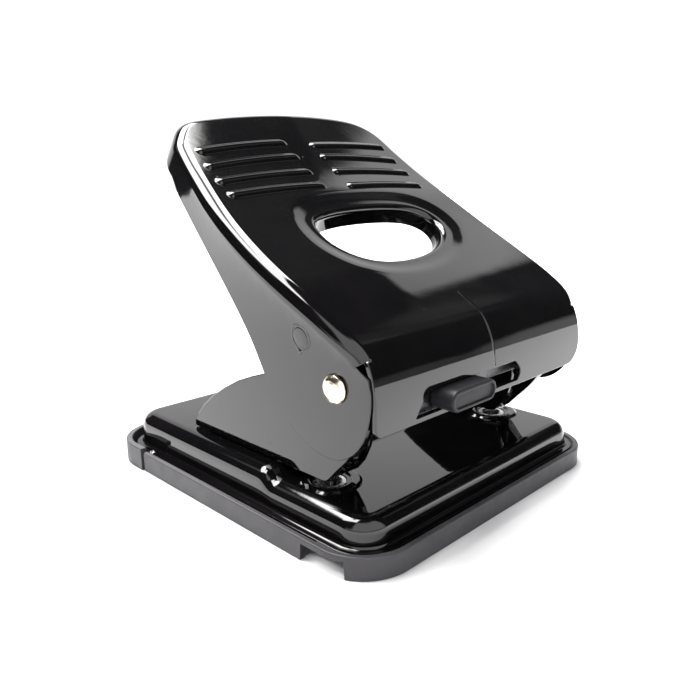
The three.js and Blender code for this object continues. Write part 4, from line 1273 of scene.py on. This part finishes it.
def make_tray():
    P, N = tray_path(SPLIT_Y, 0.0)
    # the lower edge of the side walls is cut away over the finger notch
    rise = smooth((P[:, 1] - N0 + 0.15) / 0.3) * (1 - smooth((P[:, 1] - N1 + 0.15) / 0.3))
    S = sweep_wall(P, N, 6.5, TT, NH * rise)
    # floor with open corners at the notches
    o, _ = tray_path(SPLIT_Y, -1.2)
    yy = o[:, 1]
    xi = TW - 6.0
    q = []
    for x, y in o:
        if N0 - 0.2 < y < N1 + 0.2 and abs(x) > xi:
            continue
        q.append((x, y))
    q = np.array(q)
    for s in (-1, 1):
        c = [(s * (TW - 1.2), N1 + 0.1), (s * (xi + 2.4), N1 + 0.1), (s * xi, N1 - 2.3), (s * xi, N0 - 0.1), (s * (TW - 1.6), N0 - 0.1)]
        c = round_corners(c, [0, 0.8, 2.0, 1.2, 0], 0.4, False)
        c = c if s < 0 else c[::-1]
        d = np.linalg.norm(q - c[0], axis=1)
        k = int(np.argmin(d))
        d2 = np.linalg.norm(q - c[-1], axis=1)
        k2 = int(np.argmin(d2))
        lo, hi = min(k, k2), max(k, k2)
        c = c if k < k2 else c[::-1]
        q = np.vstack([q[:lo + 1], c, q[hi:]])
    S.add(plate(densify(q, 2.0), [], 2, 1.9, 1.5, 6.0))
    # pocket walls beside the notches, ledges, ribs across the floor and hinge ears
    for s in (-1, 1):
        x0, x1 = sorted((s * (xi - 0.2), s * (xi - 1.3)))
        S.add(box_plate(x0, x1, N0 - 1.0, N1 + 0.6, 0.6, 4.2))
        x0, x1 = sorted((s * (xi - 1.0), s * (TW - 0.8)))
        S.add(box_plate(x0, x1, N1 + 0.2, N1 + 1.4, 0.4, 4.2))
        x0, x1 = sorted((s * 53.6, s * 57.0))
        S.add(box_plate(x0, x1, -36, 34, 0.8, 4.0, 0.3))
        x0, x1 = sorted((s * 47.5, s * 40.5))
        S.add(turned([(0.95, -3.5), (1.7, -3.5), (1.7, 3.5), (0.95, 3.5), (0.95, -3.5)], (s * 44.0, 42.6, 2.1), (1, 0, 0), 40))
        S.add(box_plate(x0, x1, SPLIT_Y - 1.5, 41.4, 0.8, 2.5, 0.3))
    S.add(box_plate(-34, 34, -60.6, -57.2, 0.8, 4.0, 0.3))
    S.add(box_plate(-56.6, 56.6, SPLIT_Y - 1.7, SPLIT_Y - 0.1, 0.5, 3.9, 0.3))
    for y in (-30, -10, 10, 28):
        S.add(box_plate(-50, 50, y - 0.6, y + 0.6, 1.6, 3.4, 0.25))
    return S


def make_rear_bar():
    P, N = tray_path(SPLIT_Y + SPLIT_GAP, 0.4, False)
    S = sweep_wall(P, N, 7.6, TT + 0.4, np.zeros(len(P)))
    o, _ = tray_path(SPLIT_Y + SPLIT_GAP, -1.2, False)
    holes = [ring(s * 46, 52.0, 2.9, 32) for s in (-1, 1)]
    o = list(map(tuple, o))
    cuts = []
    for s in (1, -1):
        a, b = s * 48.2, s * 39.8
        cuts += [(a, SPLIT_Y + SPLIT_GAP), (a, 45.0), (b, 45.0), (b, SPLIT_Y + SPLIT_GAP)]
    # the outline runs from the right end round the rear to the left end, then back along the cut
    if o[0][0] < 0:
        o = o[::-1]
    back = cuts[4:][:0]
    left = [(-48.2, SPLIT_Y + SPLIT_GAP), (-48.2, 45.0), (-39.8, 45.0), (-39.8, SPLIT_Y + SPLIT_GAP)]
    right = [(39.8, SPLIT_Y + SPLIT_GAP), (39.8, 45.0), (48.2, 45.0), (48.2, SPLIT_Y + SPLIT_GAP)]
    q = np.array(o + left + right)
    S.add(plate(densify(q, 2.0), holes, 2, 1.9, 1.5, 6.0, sign=1.0))
    for s in (-1, 1):
        S.add(turned([(1.8, 1.0), (3.4, 1.0), (3.4, 4.0), (1.8, 4.0), (1.8, 1.0)], (s * 46, 52.0, 0), (0, 0, 1), 40))
        for xa in (36.3, 48.2):
            x0, x1 = sorted((s * xa, s * (xa + 3.5)))
            S.add(box_plate(x0, x1, SPLIT_Y + SPLIT_GAP + 0.1, 45.2, 0.5, 3.9, 0.3))
    S.add(box_plate(-30, 30, 57.4, 60.8, 0.8, 4.0, 0.3))
    return S


to_object("chip_tray_skin", make_tray(), "tray", M_TRAY, ["chip_tray"], check=False)
to_object("tray_rear_bar_skin", make_rear_bar(), "base", M_TRAY, ["tray_rear_bar"], check=False)
for side, s in (("left", -1), ("right", 1)):
    x0, x1 = sorted((s * 52.0, s * 36.0))
    to_object(f"tray_hinge_pin_{side}_skin", turned([(0, x0), (0.75, x0), (0.75, x1), (0, x1)], (0, 42.6, 2.1), (1, 0, 0), 32, 0.15), "base", M_STEEL,
              [f"tray_hinge_pin_{side}"], check=False)
    # pan-head screw, its slot cut as a real groove
    head = turned([(0, 0.5), (2.4, 0.5), (2.5, 0.8), (2.5, 1.55), (1.4, 1.55), (1.4, 7.6), (0.6, 8.4), (0, 8.4)], (s * 46, 52.0, 0), (0, 0, 1), 48, 0.2)
    low = (head.v[:, 2] < 0.75) & (np.abs(head.v[:, 1] - 52.0) < 0.36)
    head.v[low, 2] += 0.55
    to_object(f"rear_bar_screw_{side}_skin", head, "base", M_STEEL, [f"rear_bar_screw_{side}"], check=False)

# ------------------------------------------------------------------ brackets, rivets and guides
BR_Z = 16.5
CHEEK = [(-35.2, 16.5), (26.6, 16.5), (26.5, 18.2), (24.6, 21.2), (20.6, 25.3), (15.8, 29.1), (9.4, 33.2), (2.2, 37.0), (-4.5, 39.7), (-10, 41.6), (-15.5, 43.2), (-20, 43.9), (-30.8, 44.0),
         (-34.0, 45.0), (-35.9, 48.0), (-38.2, 51.6), (-41.2, 53.5), (-44.6, 54.1), (-48.0, 53.3), (-50.7, 51.2), (-52.3, 48.2), (-52.7, 44.6), (-51.9, 40.2)]
CHEEK_FRONT = [(-50.2, 35.4), (-47.8, 30.5), (-45.6, 27.1), (-43.2, 24.3), (-39.6, 20.6), (-36.6, 17.3)]
IN_CHEEK = [(-35.2, 16.5), (20.0, 16.5), (18.0, 20.4), (10, 26.4), (-2, 33.0), (-12, 37.6), (-20, 40.6), (-24.0, 41.4), (-38.0, 41.4), (-40.8, 40.0), (-42.4, 36.4), (-42.6, 30.8),
            (-41.6, 25.4), (-39.4, 20.6), (-36.6, 17.3)]


def make_bracket(s):
    X = 46.0
    o = densify(round_corners(CHEEK + CHEEK_FRONT, 2.4, 0.5), 1.6)
    hole = ring(-44.6, 45.8, 2.9, 44)
    S = plate(o, [hole], 0, s * X, 1.5, 3.0, 0.35, s)
    # turned-in lip along the front edge: an arc into a short return
    path = BSpline([(-51.6, 38.6)] + CHEEK_FRONT + [(-35.6, 16.6)], 600)
    pts = resample(path.p, 60, False)
    t = unit(np.gradient(pts, axis=0))
    m = np.stack([t[:, 1], -t[:, 0]], 1)
    m = np.where((m @ np.array([-0.8, -0.6]))[:, None] < 0, -m, m)
    R = 1.7
    rows, nn = [], []
    for k in range(9):
        a = math.pi / 2 * k / 8
        off = -R + R * math.sin(a)
        rows.append(np.column_stack([np.full(len(pts), s * (X - R + R * math.cos(a))), pts + m * (off + 0.15)]))
        nn.append(np.column_stack([np.full(len(pts), s * math.cos(a)), m * math.sin(a)]))
    fade = smooth(np.minimum(np.arange(len(pts)), 200) / 14.0)[:, None]
    for d in (1.0, 2.2):
        q = rows[8].copy()
        q[:, 0] -= s * d * fade[:, 0]
        rows.append(q)
        nn.append(nn[8])
    L = flip_to_normals(tube_rows(rows, nn, False))
    S.add(thicken(L, 1.4, 0.3, 3))
    a, b = sorted((s * 34.5, s * 45.5))
    web = round_corners([(a, -35.4), (b, -35.4), (b, 20.0), (a, 20.0)], 1.0, 0.3)
    S.add(plate(densify(web, 2.0), [ring(s * 40, PUNCH_Y, 3.05, 40), ring(s * 40, -8, 2.0, 32), ring(s * 40, 12, 2.0, 32)], 2, BR_Z + 1.5, 1.5, 3.0, 0.2))
    inn = densify(round_corners(IN_CHEEK, 2.0, 0.5), 1.8)
    S.add(plate(inn, [], 0, s * 34.0, 1.5, 3.5, 0.3, -s))
    return S


def mirrored(S):
    k = np.array([-1.0, 1.0, 1.0])
    return Surf(S.v * k, S.n * k, [tuple(reversed(q)) for q in S.f])


for side, s in (("left", -1), ("right", 1)):
    to_object(f"bracket_{side}_skin", make_bracket(1) if s > 0 else mirrored(make_bracket(1)), "base", M_LACQ, [f"bracket_{side}"], check=False)
    for part, y in (("front", -8), ("rear", 12)):
        rv = turned([(0, 13.1), (2.2, 13.1), (2.9, 13.7), (2.9, 14.4), (1.8, 14.4), (1.8, 18.2), (3.25, 18.2), (3.1, 18.8), (2.5, 19.35), (1.4, 19.7), (0, 19.8)],
                    (s * 40, y, 0), (0, 0, 1), 48, 0.15)
        to_object(f"bracket_rivet_{side}_{part}_skin", rv, "base", M_STEEL, [f"bracket_rivet_{side}_{part}"], check=False)
    a, b = sorted((s * 35.8, s * 44.2))
    o = round_corners([(a, -37.6), (b, -37.6), (b, -24.8), (a, -24.8)], 0.6, 0.2)
    G = plate(densify(o, 1.6), [ring(s * 40, PUNCH_Y, 3.05, 40)], 2, 38.0, 1.6, 2.0, 0.25)
    for x0 in (a, b - 1.2):
        G.add(box_plate(x0, x0 + 1.2, -37.4, -25.0, 31.2, 37.2, 0.25, 1.2))
    to_object(f"pin_guide_{side}_skin", G, "base", M_STEEL, [f"pin_guide_{side}"], check=False)
    pin = turned([(0, 18.6), (1.3, 18.35), (2.75, 17.2), (2.75, 30.0), (2.62, 30.3), (2.62, 31.0), (2.75, 31.3), (2.75, 51.5), (4.3, 51.5), (4.3, 52.6), (3.4, 53.15), (1.8, 53.32),
                  (0, 53.35)], (s * 40, PUNCH_Y, 0), (0, 0, 1), 56, 0.14)
    to_object(f"punch_pin_{side}_skin", pin, f"punch_{side}", M_STEEL, [f"punch_pin_{side}"], check=False)
    col = turned([(3.05, 49.9), (4.4, 49.9), (4.4, 51.2), (3.05, 51.2), (3.05, 49.9)], (s * 40, PUNCH_Y, 0), (0, 0, 1), 48, 0.2)
    to_object(f"spring_collar_{side}_skin", col, f"punch_{side}", M_STEEL, [f"spring_collar_{side}"], check=False)
    was = turned([(2.9, 46.3), (6.0, 46.3), (6.0, 48.8), (2.9, 48.8), (2.9, 46.3)], (0, -44.6, 45.8), (s, 0, 0), 56, 0.25)
    to_object(f"pivot_washer_{side}_skin", was, "base", M_STEEL, [f"pivot_washer_{side}"], check=False)
    # pivot rivet: flat turned head with a fine dimple and a rolled rim
    pr = turned([(0, 43.0), (3.0, 43.0), (3.7, 43.5), (3.7, 44.2), (2.6, 44.2), (2.6, 50.75), (3.75, 50.75), (3.85, 51.1), (3.6, 51.6), (3.1, 51.98), (2.4, 52.28), (1.6, 52.46), (0.8, 52.54),
                 (0, 52.56)], (0, -44.6, 45.8), (s, 0, 0), 72, 0.22)
    to_object(f"pivot_rivet_{side}_skin", pr, "base", M_NICKEL, [f"pivot_rivet_{side}"], check=False)

    # return spring: round wire with ground, closely wound ends
    turns, R, wire, zA, zB = 3.25, 3.72, 0.42, 38.3 + 0.42, 49.6 - 0.42
    tt = np.linspace(0, 1, 260)
    e = 0.10
    u = np.where(tt < e, 0.25 * tt, np.where(tt > 1 - e, 1 - 0.25 * (1 - tt), 0.25 * e + (tt - e) * (1 - 0.5 * e) / (1 - 2 * e)))
    ang = 2 * math.pi * turns * tt
    C = np.column_stack([s * 40 + R * np.cos(ang), PUNCH_Y + R * np.sin(ang), zA + (zB - zA) * u])
    T = unit(np.gradient(C, axis=0))
    rad = unit(np.column_stack([np.cos(ang), np.sin(ang), 0 * ang]))
    bn_ = unit(np.cross(T, rad))
    rows, nn = [], []
    for k in range(14):
        a = 2 * math.pi * k / 14
        d = rad * math.cos(a) + bn_ * math.sin(a)
        rows.append(C + d * wire)
        nn.append(d)
    rows, nn = np.array(rows + rows[:1]), np.array(nn + nn[:1])
    Sp = tube_rows(list(rows.transpose(1, 0, 2)[:, :-1]), list(nn.transpose(1, 0, 2)[:, :-1]), True)
    for i, d in ((0, -1), (len(C) - 1, 1)):
        Sp.add(Surf(rows.transpose(1, 0, 2)[i][:-1], np.tile(T[i] * d, (14, 1)), [tuple(range(14))]))
    ob = to_object(f"return_spring_{side}_skin", flip_to_normals(Sp), "base", M_SPRING, [f"return_spring_{side}"], check=False)
    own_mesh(ob)

# ------------------------------------------------------------------ drive bar, its ends painted over with the lever
BAR = (-32.8, 56.9)
bar = turned([(0, -50.6), (2.6, -50.6), (3.0, -50.2), (3.0, 50.2), (2.6, 50.6), (0, 50.6)], (0, -32.4, 56.7), (1, 0, 0), 56, 0.2)
to_object("drive_bar_skin", bar, "lever", M_STEEL, ["drive_bar"], check=False)
for side, s in (("left", -1), ("right", 1)):
    fx0 = float(flange_x(*BAR))
    nx_ = flange_normal(BAR[0], BAR[1]) * np.array([s, 1, 1])
    cap = turned([(0, -1.0), (3.9, -1.0), (3.9, -0.05), (3.6, 0.16), (3.3, 0.2), (3.05, 0.02), (2.8, 0.0), (2.5, 0.22), (1.4, 0.3), (0, 0.32)],
                 (s * fx0, BAR[0], BAR[1]), nx_, 64, 0.1)
    # a run of enamel at the lower edge
    rel = cap.v - np.array([s * fx0, BAR[0], BAR[1]])
    rr = np.hypot(rel[:, 1], rel[:, 2])
    drip = np.exp(-((rel[:, 1] - 0.9) / 0.6) ** 2) * smooth((-rel[:, 2] - 2.6) / 1.0) * (rr > 2.7)
    cap.v[:, 2] -= 1.1 * drip
    cap.v[:, 0] += s * 0.12 * drip
    facing = np.clip(cap.n @ nx_, 0, 1)[:, None]
    cap.n = unit(cap.n + facing * np.array([0.0, 0.0, -0.85 * nx_[2]]))
    to_object(f"drive_bar_end_{side}", cap, "lever", M_LACQ, check=False)

# ------------------------------------------------------------------ handle lock
BX, BZ = -16.7, 40.1


def stadium(g, n=28, w=20.0, h=6.0):
    r = h / 2 + g
    k = w / 2 - h / 2
    a = np.linspace(-90, 90, n) * math.pi / 180
    p = [(BX + k + r * math.cos(t), BZ + r * math.sin(t)) for t in a] + [(BX - k - r * math.cos(t), BZ - r * math.sin(t)) for t in a]
    return densify(np.array(p), 0.9)


def make_button():
    prof = [(-0.05, -55.2), (0.0, -56.5), (0.0, -58.0), (0.0, -60.0), (0.0, -61.7)]
    for a in (20, 45, 70, 90):
        w = math.radians(a)
        prof.append((-0.55 + 0.55 * math.cos(w), -61.9 - 0.55 * math.sin(w)))
    prof += [(-0.85, -62.45)]
    for a in (30, 60, 90):
        w = math.radians(a)
        prof.append((-0.85 - 0.25 * math.sin(w), -62.45 + 0.25 * (1 - math.cos(w))))
    prof += [(-1.12, -61.95), (-1.22, -61.85), (-1.6, -61.83)]
    base = stadium(0.0)
    c = np.array([BX, BZ])
    t = unit(np.roll(base, -1, 0) - np.roll(base, 1, 0))
    m = np.stack([t[:, 1], -t[:, 0]], 1)
    m = np.where(((m * (base - c)).sum(1))[:, None] < 0, -m, m)
    rows = []
    for g, y in prof:
        q = base + m * g
        rows.append(np.column_stack([q[:, 0], np.full(len(q), y), q[:, 1]]))
    R = np.array(rows)
    d = np.gradient(np.array(prof), axis=0)
    nn = []
    for (dg, dy) in d:
        v = np.array([-dy, dg])
        v = v / max(np.linalg.norm(v), 1e-9)        # outwards share, share along y
        nn.append(np.column_stack([m[:, 0] * v[0], np.full(len(m), v[1]), m[:, 1] * v[0]]))
    S = tube_rows(list(R), nn, True)
    q = base + m * prof[-1][0]
    lo, hi = q.min(0), q.max(0)
    uv, tri = fill([q], grid_points(lo[0], hi[0], 1.0, lo[1], hi[1], 1.0), 0.4)
    S.add(Surf(np.column_stack([uv[:, 0], np.full(len(uv), prof[-1][1]), uv[:, 1]]), np.tile((0, -1.0, 0), (len(uv), 1)), tri))
    q = base + m * prof[0][0]
    uv, tri = fill([q], grid_points(lo[0], hi[0], 1.5, lo[1], hi[1], 1.5), 0.5)
    S.add(Surf(np.column_stack([uv[:, 0], np.full(len(uv), prof[0][1]), uv[:, 1]]), np.tile((0, 1.0, 0), (len(uv), 1)), tri))
    return flip_to_normals(S)


to_object("lock_button_skin", make_button(), "lock", M_KNOB, ["lock_button"], check=False)
# lock bolt and guide get the near-black steel, painted shade for the inside of the handle
B = box_plate(-33, -0.5, -54.9, -53.6, 36.4, 45.2, 0.3, 1.2)
B.add(box_plate(-26, -8, -54.8, -48.6, 36.4, 37.7, 0.3, 0.8))
to_object("lock_bolt_skin", B, "lock", M_STEEL_PAINTED_SHADE, ["lock_bolt"], check=False)
G = box_plate(-40, 20, -53.2, -52.2, 38.6, 45.6, 0.3, 1.2)
for x0 in (-40, 17.6):
    G.add(box_plate(x0, x0 + 2.4, -55.4, -52.4, 38.6, 45.6, 0.3, 0.6))
to_object("lock_guide_skin", G, "lever", M_STEEL_PAINTED_SHADE, ["lock_guide"], check=False)


# ------------------------------------------------------------------ world, floor and lights
class Nodes:
    """Small helper for chains of scalar nodes."""

    def __init__(self, nt):
        self.nt = nt

    def math(self, op, a, b=None):
        m = self.nt.nodes.new("ShaderNodeMath")
        m.operation = op
        for i, v in enumerate((a, b)):
            if v is None:
                continue
            if isinstance(v, (int, float)):
                m.inputs[i].default_value = v
            else:
                self.nt.links.new(v, m.inputs[i])
        return m.outputs[0]

    def up(self, v, a, b):
        """0 below a, 1 above b, smooth between."""
        m = self.nt.nodes.new("ShaderNodeMapRange")
        m.interpolation_type = "SMOOTHSTEP"
        m.inputs["From Min"].default_value = a
        m.inputs["From Max"].default_value = b
        self.nt.links.new(v, m.inputs["Value"])
        return m.outputs[0]

    def down(self, v, a, b):
        return self.math("SUBTRACT", 1.0, self.up(v, a, b))

    def times(self, *vs):
        r = vs[0]
        for v in vs[1:]:
            r = self.math("MULTIPLY", r, v)
        return r

    def mix(self, kind, f, a, b):
        m = self.nt.nodes.new("ShaderNodeMixRGB")
        m.blend_type = kind
        for i, v in ((0, f), (1, a), (2, b)):
            if isinstance(v, tuple):
                m.inputs[i].default_value = (*v, 1.0)
            elif isinstance(v, (int, float)):
                m.inputs[i].default_value = v
            else:
                self.nt.links.new(v, m.inputs[i])
        return m.outputs[0]


# bearing (from +X towards +Y), elevation, inner and outer radius in degrees, colour
GLOWS = [
    (3.0, 38.0, 2.0, 6.5, (0.13, 0.13, 0.13)),
    (120.0, 39.0, 3.0, 9.0, (0.726, 0.726, 0.726)),
    (-12.0, 41.0, 3.0, 10.0, (0.1, 0.1, 0.1)),
    (-22.0, 43.5, 2.0, 7.0, (0.197, 0.197, 0.197)),
    (36.0, 44.0, 4.0, 14.0, (0.062, 0.062, 0.062)),
    (-30.0, 2.0, 3.0, 8.0, (0.737, 0.737, 0.737)),
    (-42.0, 1.5, 3.0, 6.5, (0.32, 0.32, 0.32)),
    (150.0, 53.0, 4.0, 9.0, (0.439, 0.439, 0.439)),
]
PANEL_L = 20.0
WALL_L = 1.15
DARK = (0.050, 0.050, 0.053)


def make_world():
    """Dark studio with a pale backdrop low down and a wide overhead softbox to the rear. Directions only."""
    w = bpy.data.worlds.new("studio")
    scene.world = w
    w.use_nodes = True
    nt = w.node_tree
    nt.nodes.clear()
    g = Nodes(nt)
    out = nt.nodes.new("ShaderNodeOutputWorld")
    tc = nt.nodes.new("ShaderNodeTexCoord")
    sep = nt.nodes.new("ShaderNodeSeparateXYZ")
    nt.links.new(tc.outputs["Generated"], sep.inputs[0])
    x, y, z = sep.outputs
    deg = math.pi / 180
    az = g.math("ARCTAN2", y, x)

    def band(a0, a1, b0, b1, e0, e1):
        return g.times(g.up(az, a0 * deg, a1 * deg), g.down(az, b0 * deg, b1 * deg), g.down(z, math.sin(e0 * deg), math.sin(e1 * deg)))

    z0 = z
    z = g.math("SUBTRACT", z0, g.math("MULTIPLY", g.down(az, 17.5 * deg, 21.0 * deg), 0.045))
    wall = band(10.0, 13.5, 76.0, 82.0, 35.5, 38.5)
    z = z0
    for b in (band(70.0, 76.0, 94.0, 99.0, 26.0, 30.0), band(-22.0, -17.0, 10.0, 15.0, 10.0, 14.0),
              band(-185.0, -184.0, -60.0, -54.0, 14.0, 20.0), band(160.0, 166.0, 184.0, 185.0, 10.0, 15.0)):
        wall = g.math("MAXIMUM", wall, b)
    colour = g.mix("MIX", wall, DARK, (WALL_L, WALL_L, WALL_L))
    # broad fill from behind the camera
    fill_light = g.times(g.up(az, -178 * deg, -168 * deg), g.down(az, -66 * deg, -54 * deg), g.up(z, 0.0, 0.25), g.down(z, 0.88, 0.96))
    colour = g.mix("MIX", fill_light, colour, (2.1, 2.1, 2.15))
    for a, e, r0, r1, rgb in GLOWS:
        d = Vector((math.cos(a * deg) * math.cos(e * deg), math.sin(a * deg) * math.cos(e * deg), math.sin(e * deg)))
        dot = nt.nodes.new("ShaderNodeVectorMath")
        dot.operation = "DOT_PRODUCT"
        nt.links.new(tc.outputs["Generated"], dot.inputs[0])
        dot.inputs[1].default_value = d
        colour = g.mix("ADD", g.up(dot.outputs["Value"], math.cos(r1 * deg), math.cos(r0 * deg)), colour, rgb)
    # overhead softbox in the plane one unit above the punch, with a dark strut across its front
    zz = g.math("MAXIMUM", z, 0.2)
    u, v = g.math("DIVIDE", x, zz), g.math("DIVIDE", y, zz)
    ul = g.math("ADD", u, g.math("MULTIPLY", v, 0.36))
    vf = g.math("SUBTRACT", v, g.math("MULTIPLY", u, 0.22))
    panel = g.times(g.up(ul, -0.47, -0.41), g.down(u, 0.655, 0.735), g.up(vf, 0.075, 0.115), g.down(v, 0.88, 0.96), g.up(z, 0.3, 0.34))
    gap = g.times(g.up(vf, 0.235, 0.255), g.down(vf, 0.355, 0.38), g.up(u, -0.24, -0.17), 0.88)
    panel = g.times(panel, g.math("SUBTRACT", 1.0, gap))
    colour = g.mix("MIX", panel, colour, (PANEL_L, PANEL_L * 0.99, PANEL_L * 0.98))
    bg = nt.nodes.new("ShaderNodeBackground")
    nt.links.new(colour, bg.inputs["Color"])
    bg.inputs["Strength"].default_value = 1.0
    nt.links.new(bg.outputs[0], out.inputs[0])


def sun(name, az, el, angle, power, color=(1, 1, 1)):
    ld = bpy.data.lights.new(name, "SUN")
    ld.energy = power
    ld.angle = math.radians(angle)
    ld.color = color
    ob = bpy.data.objects.new(name, ld)
    d = Vector((math.cos(math.radians(az)) * math.cos(math.radians(el)), math.sin(math.radians(az)) * math.cos(math.radians(el)), math.sin(math.radians(el))))
    ob.rotation_euler = (-d).to_track_quat("-Z", "Y").to_euler()
    ob.location = d * 1.5
    COL.objects.link(ob)
    return ob


def make_floor():
    """One plain pale floor, the same all over."""
    mat, nt, b = new_mat("floor_sweep")
    n = noise(nt, 22.0, 4.0, 0.6, seed=11.0)
    paper = ramp(nt, n.outputs["Fac"], [(0.3, g3(0.66)), (0.7, g3(0.68))])
    nt.links.new(paper.outputs[0], b.inputs["Base Color"])
    b.inputs["Roughness"].default_value = 0.92
    b.inputs["Specular IOR Level"].default_value = 0.05
    me = bpy.data.meshes.new("floor")
    me.from_pydata([(-3.2, -3.2, -0.0001), (3.2, -3.2, -0.0001), (3.2, 3.2, -0.0001), (-3.2, 3.2, -0.0001)], [], [(0, 1, 2, 3)])
    me.materials.append(mat)
    ob = bpy.data.objects.new("floor", me)
    COL.objects.link(ob)


make_world()
make_floor()
sun("key", 80.0, 61.0, 20.0, 3.0)
scene.view_settings.view_transform = "Standard"
scene.view_settings.look = "None"
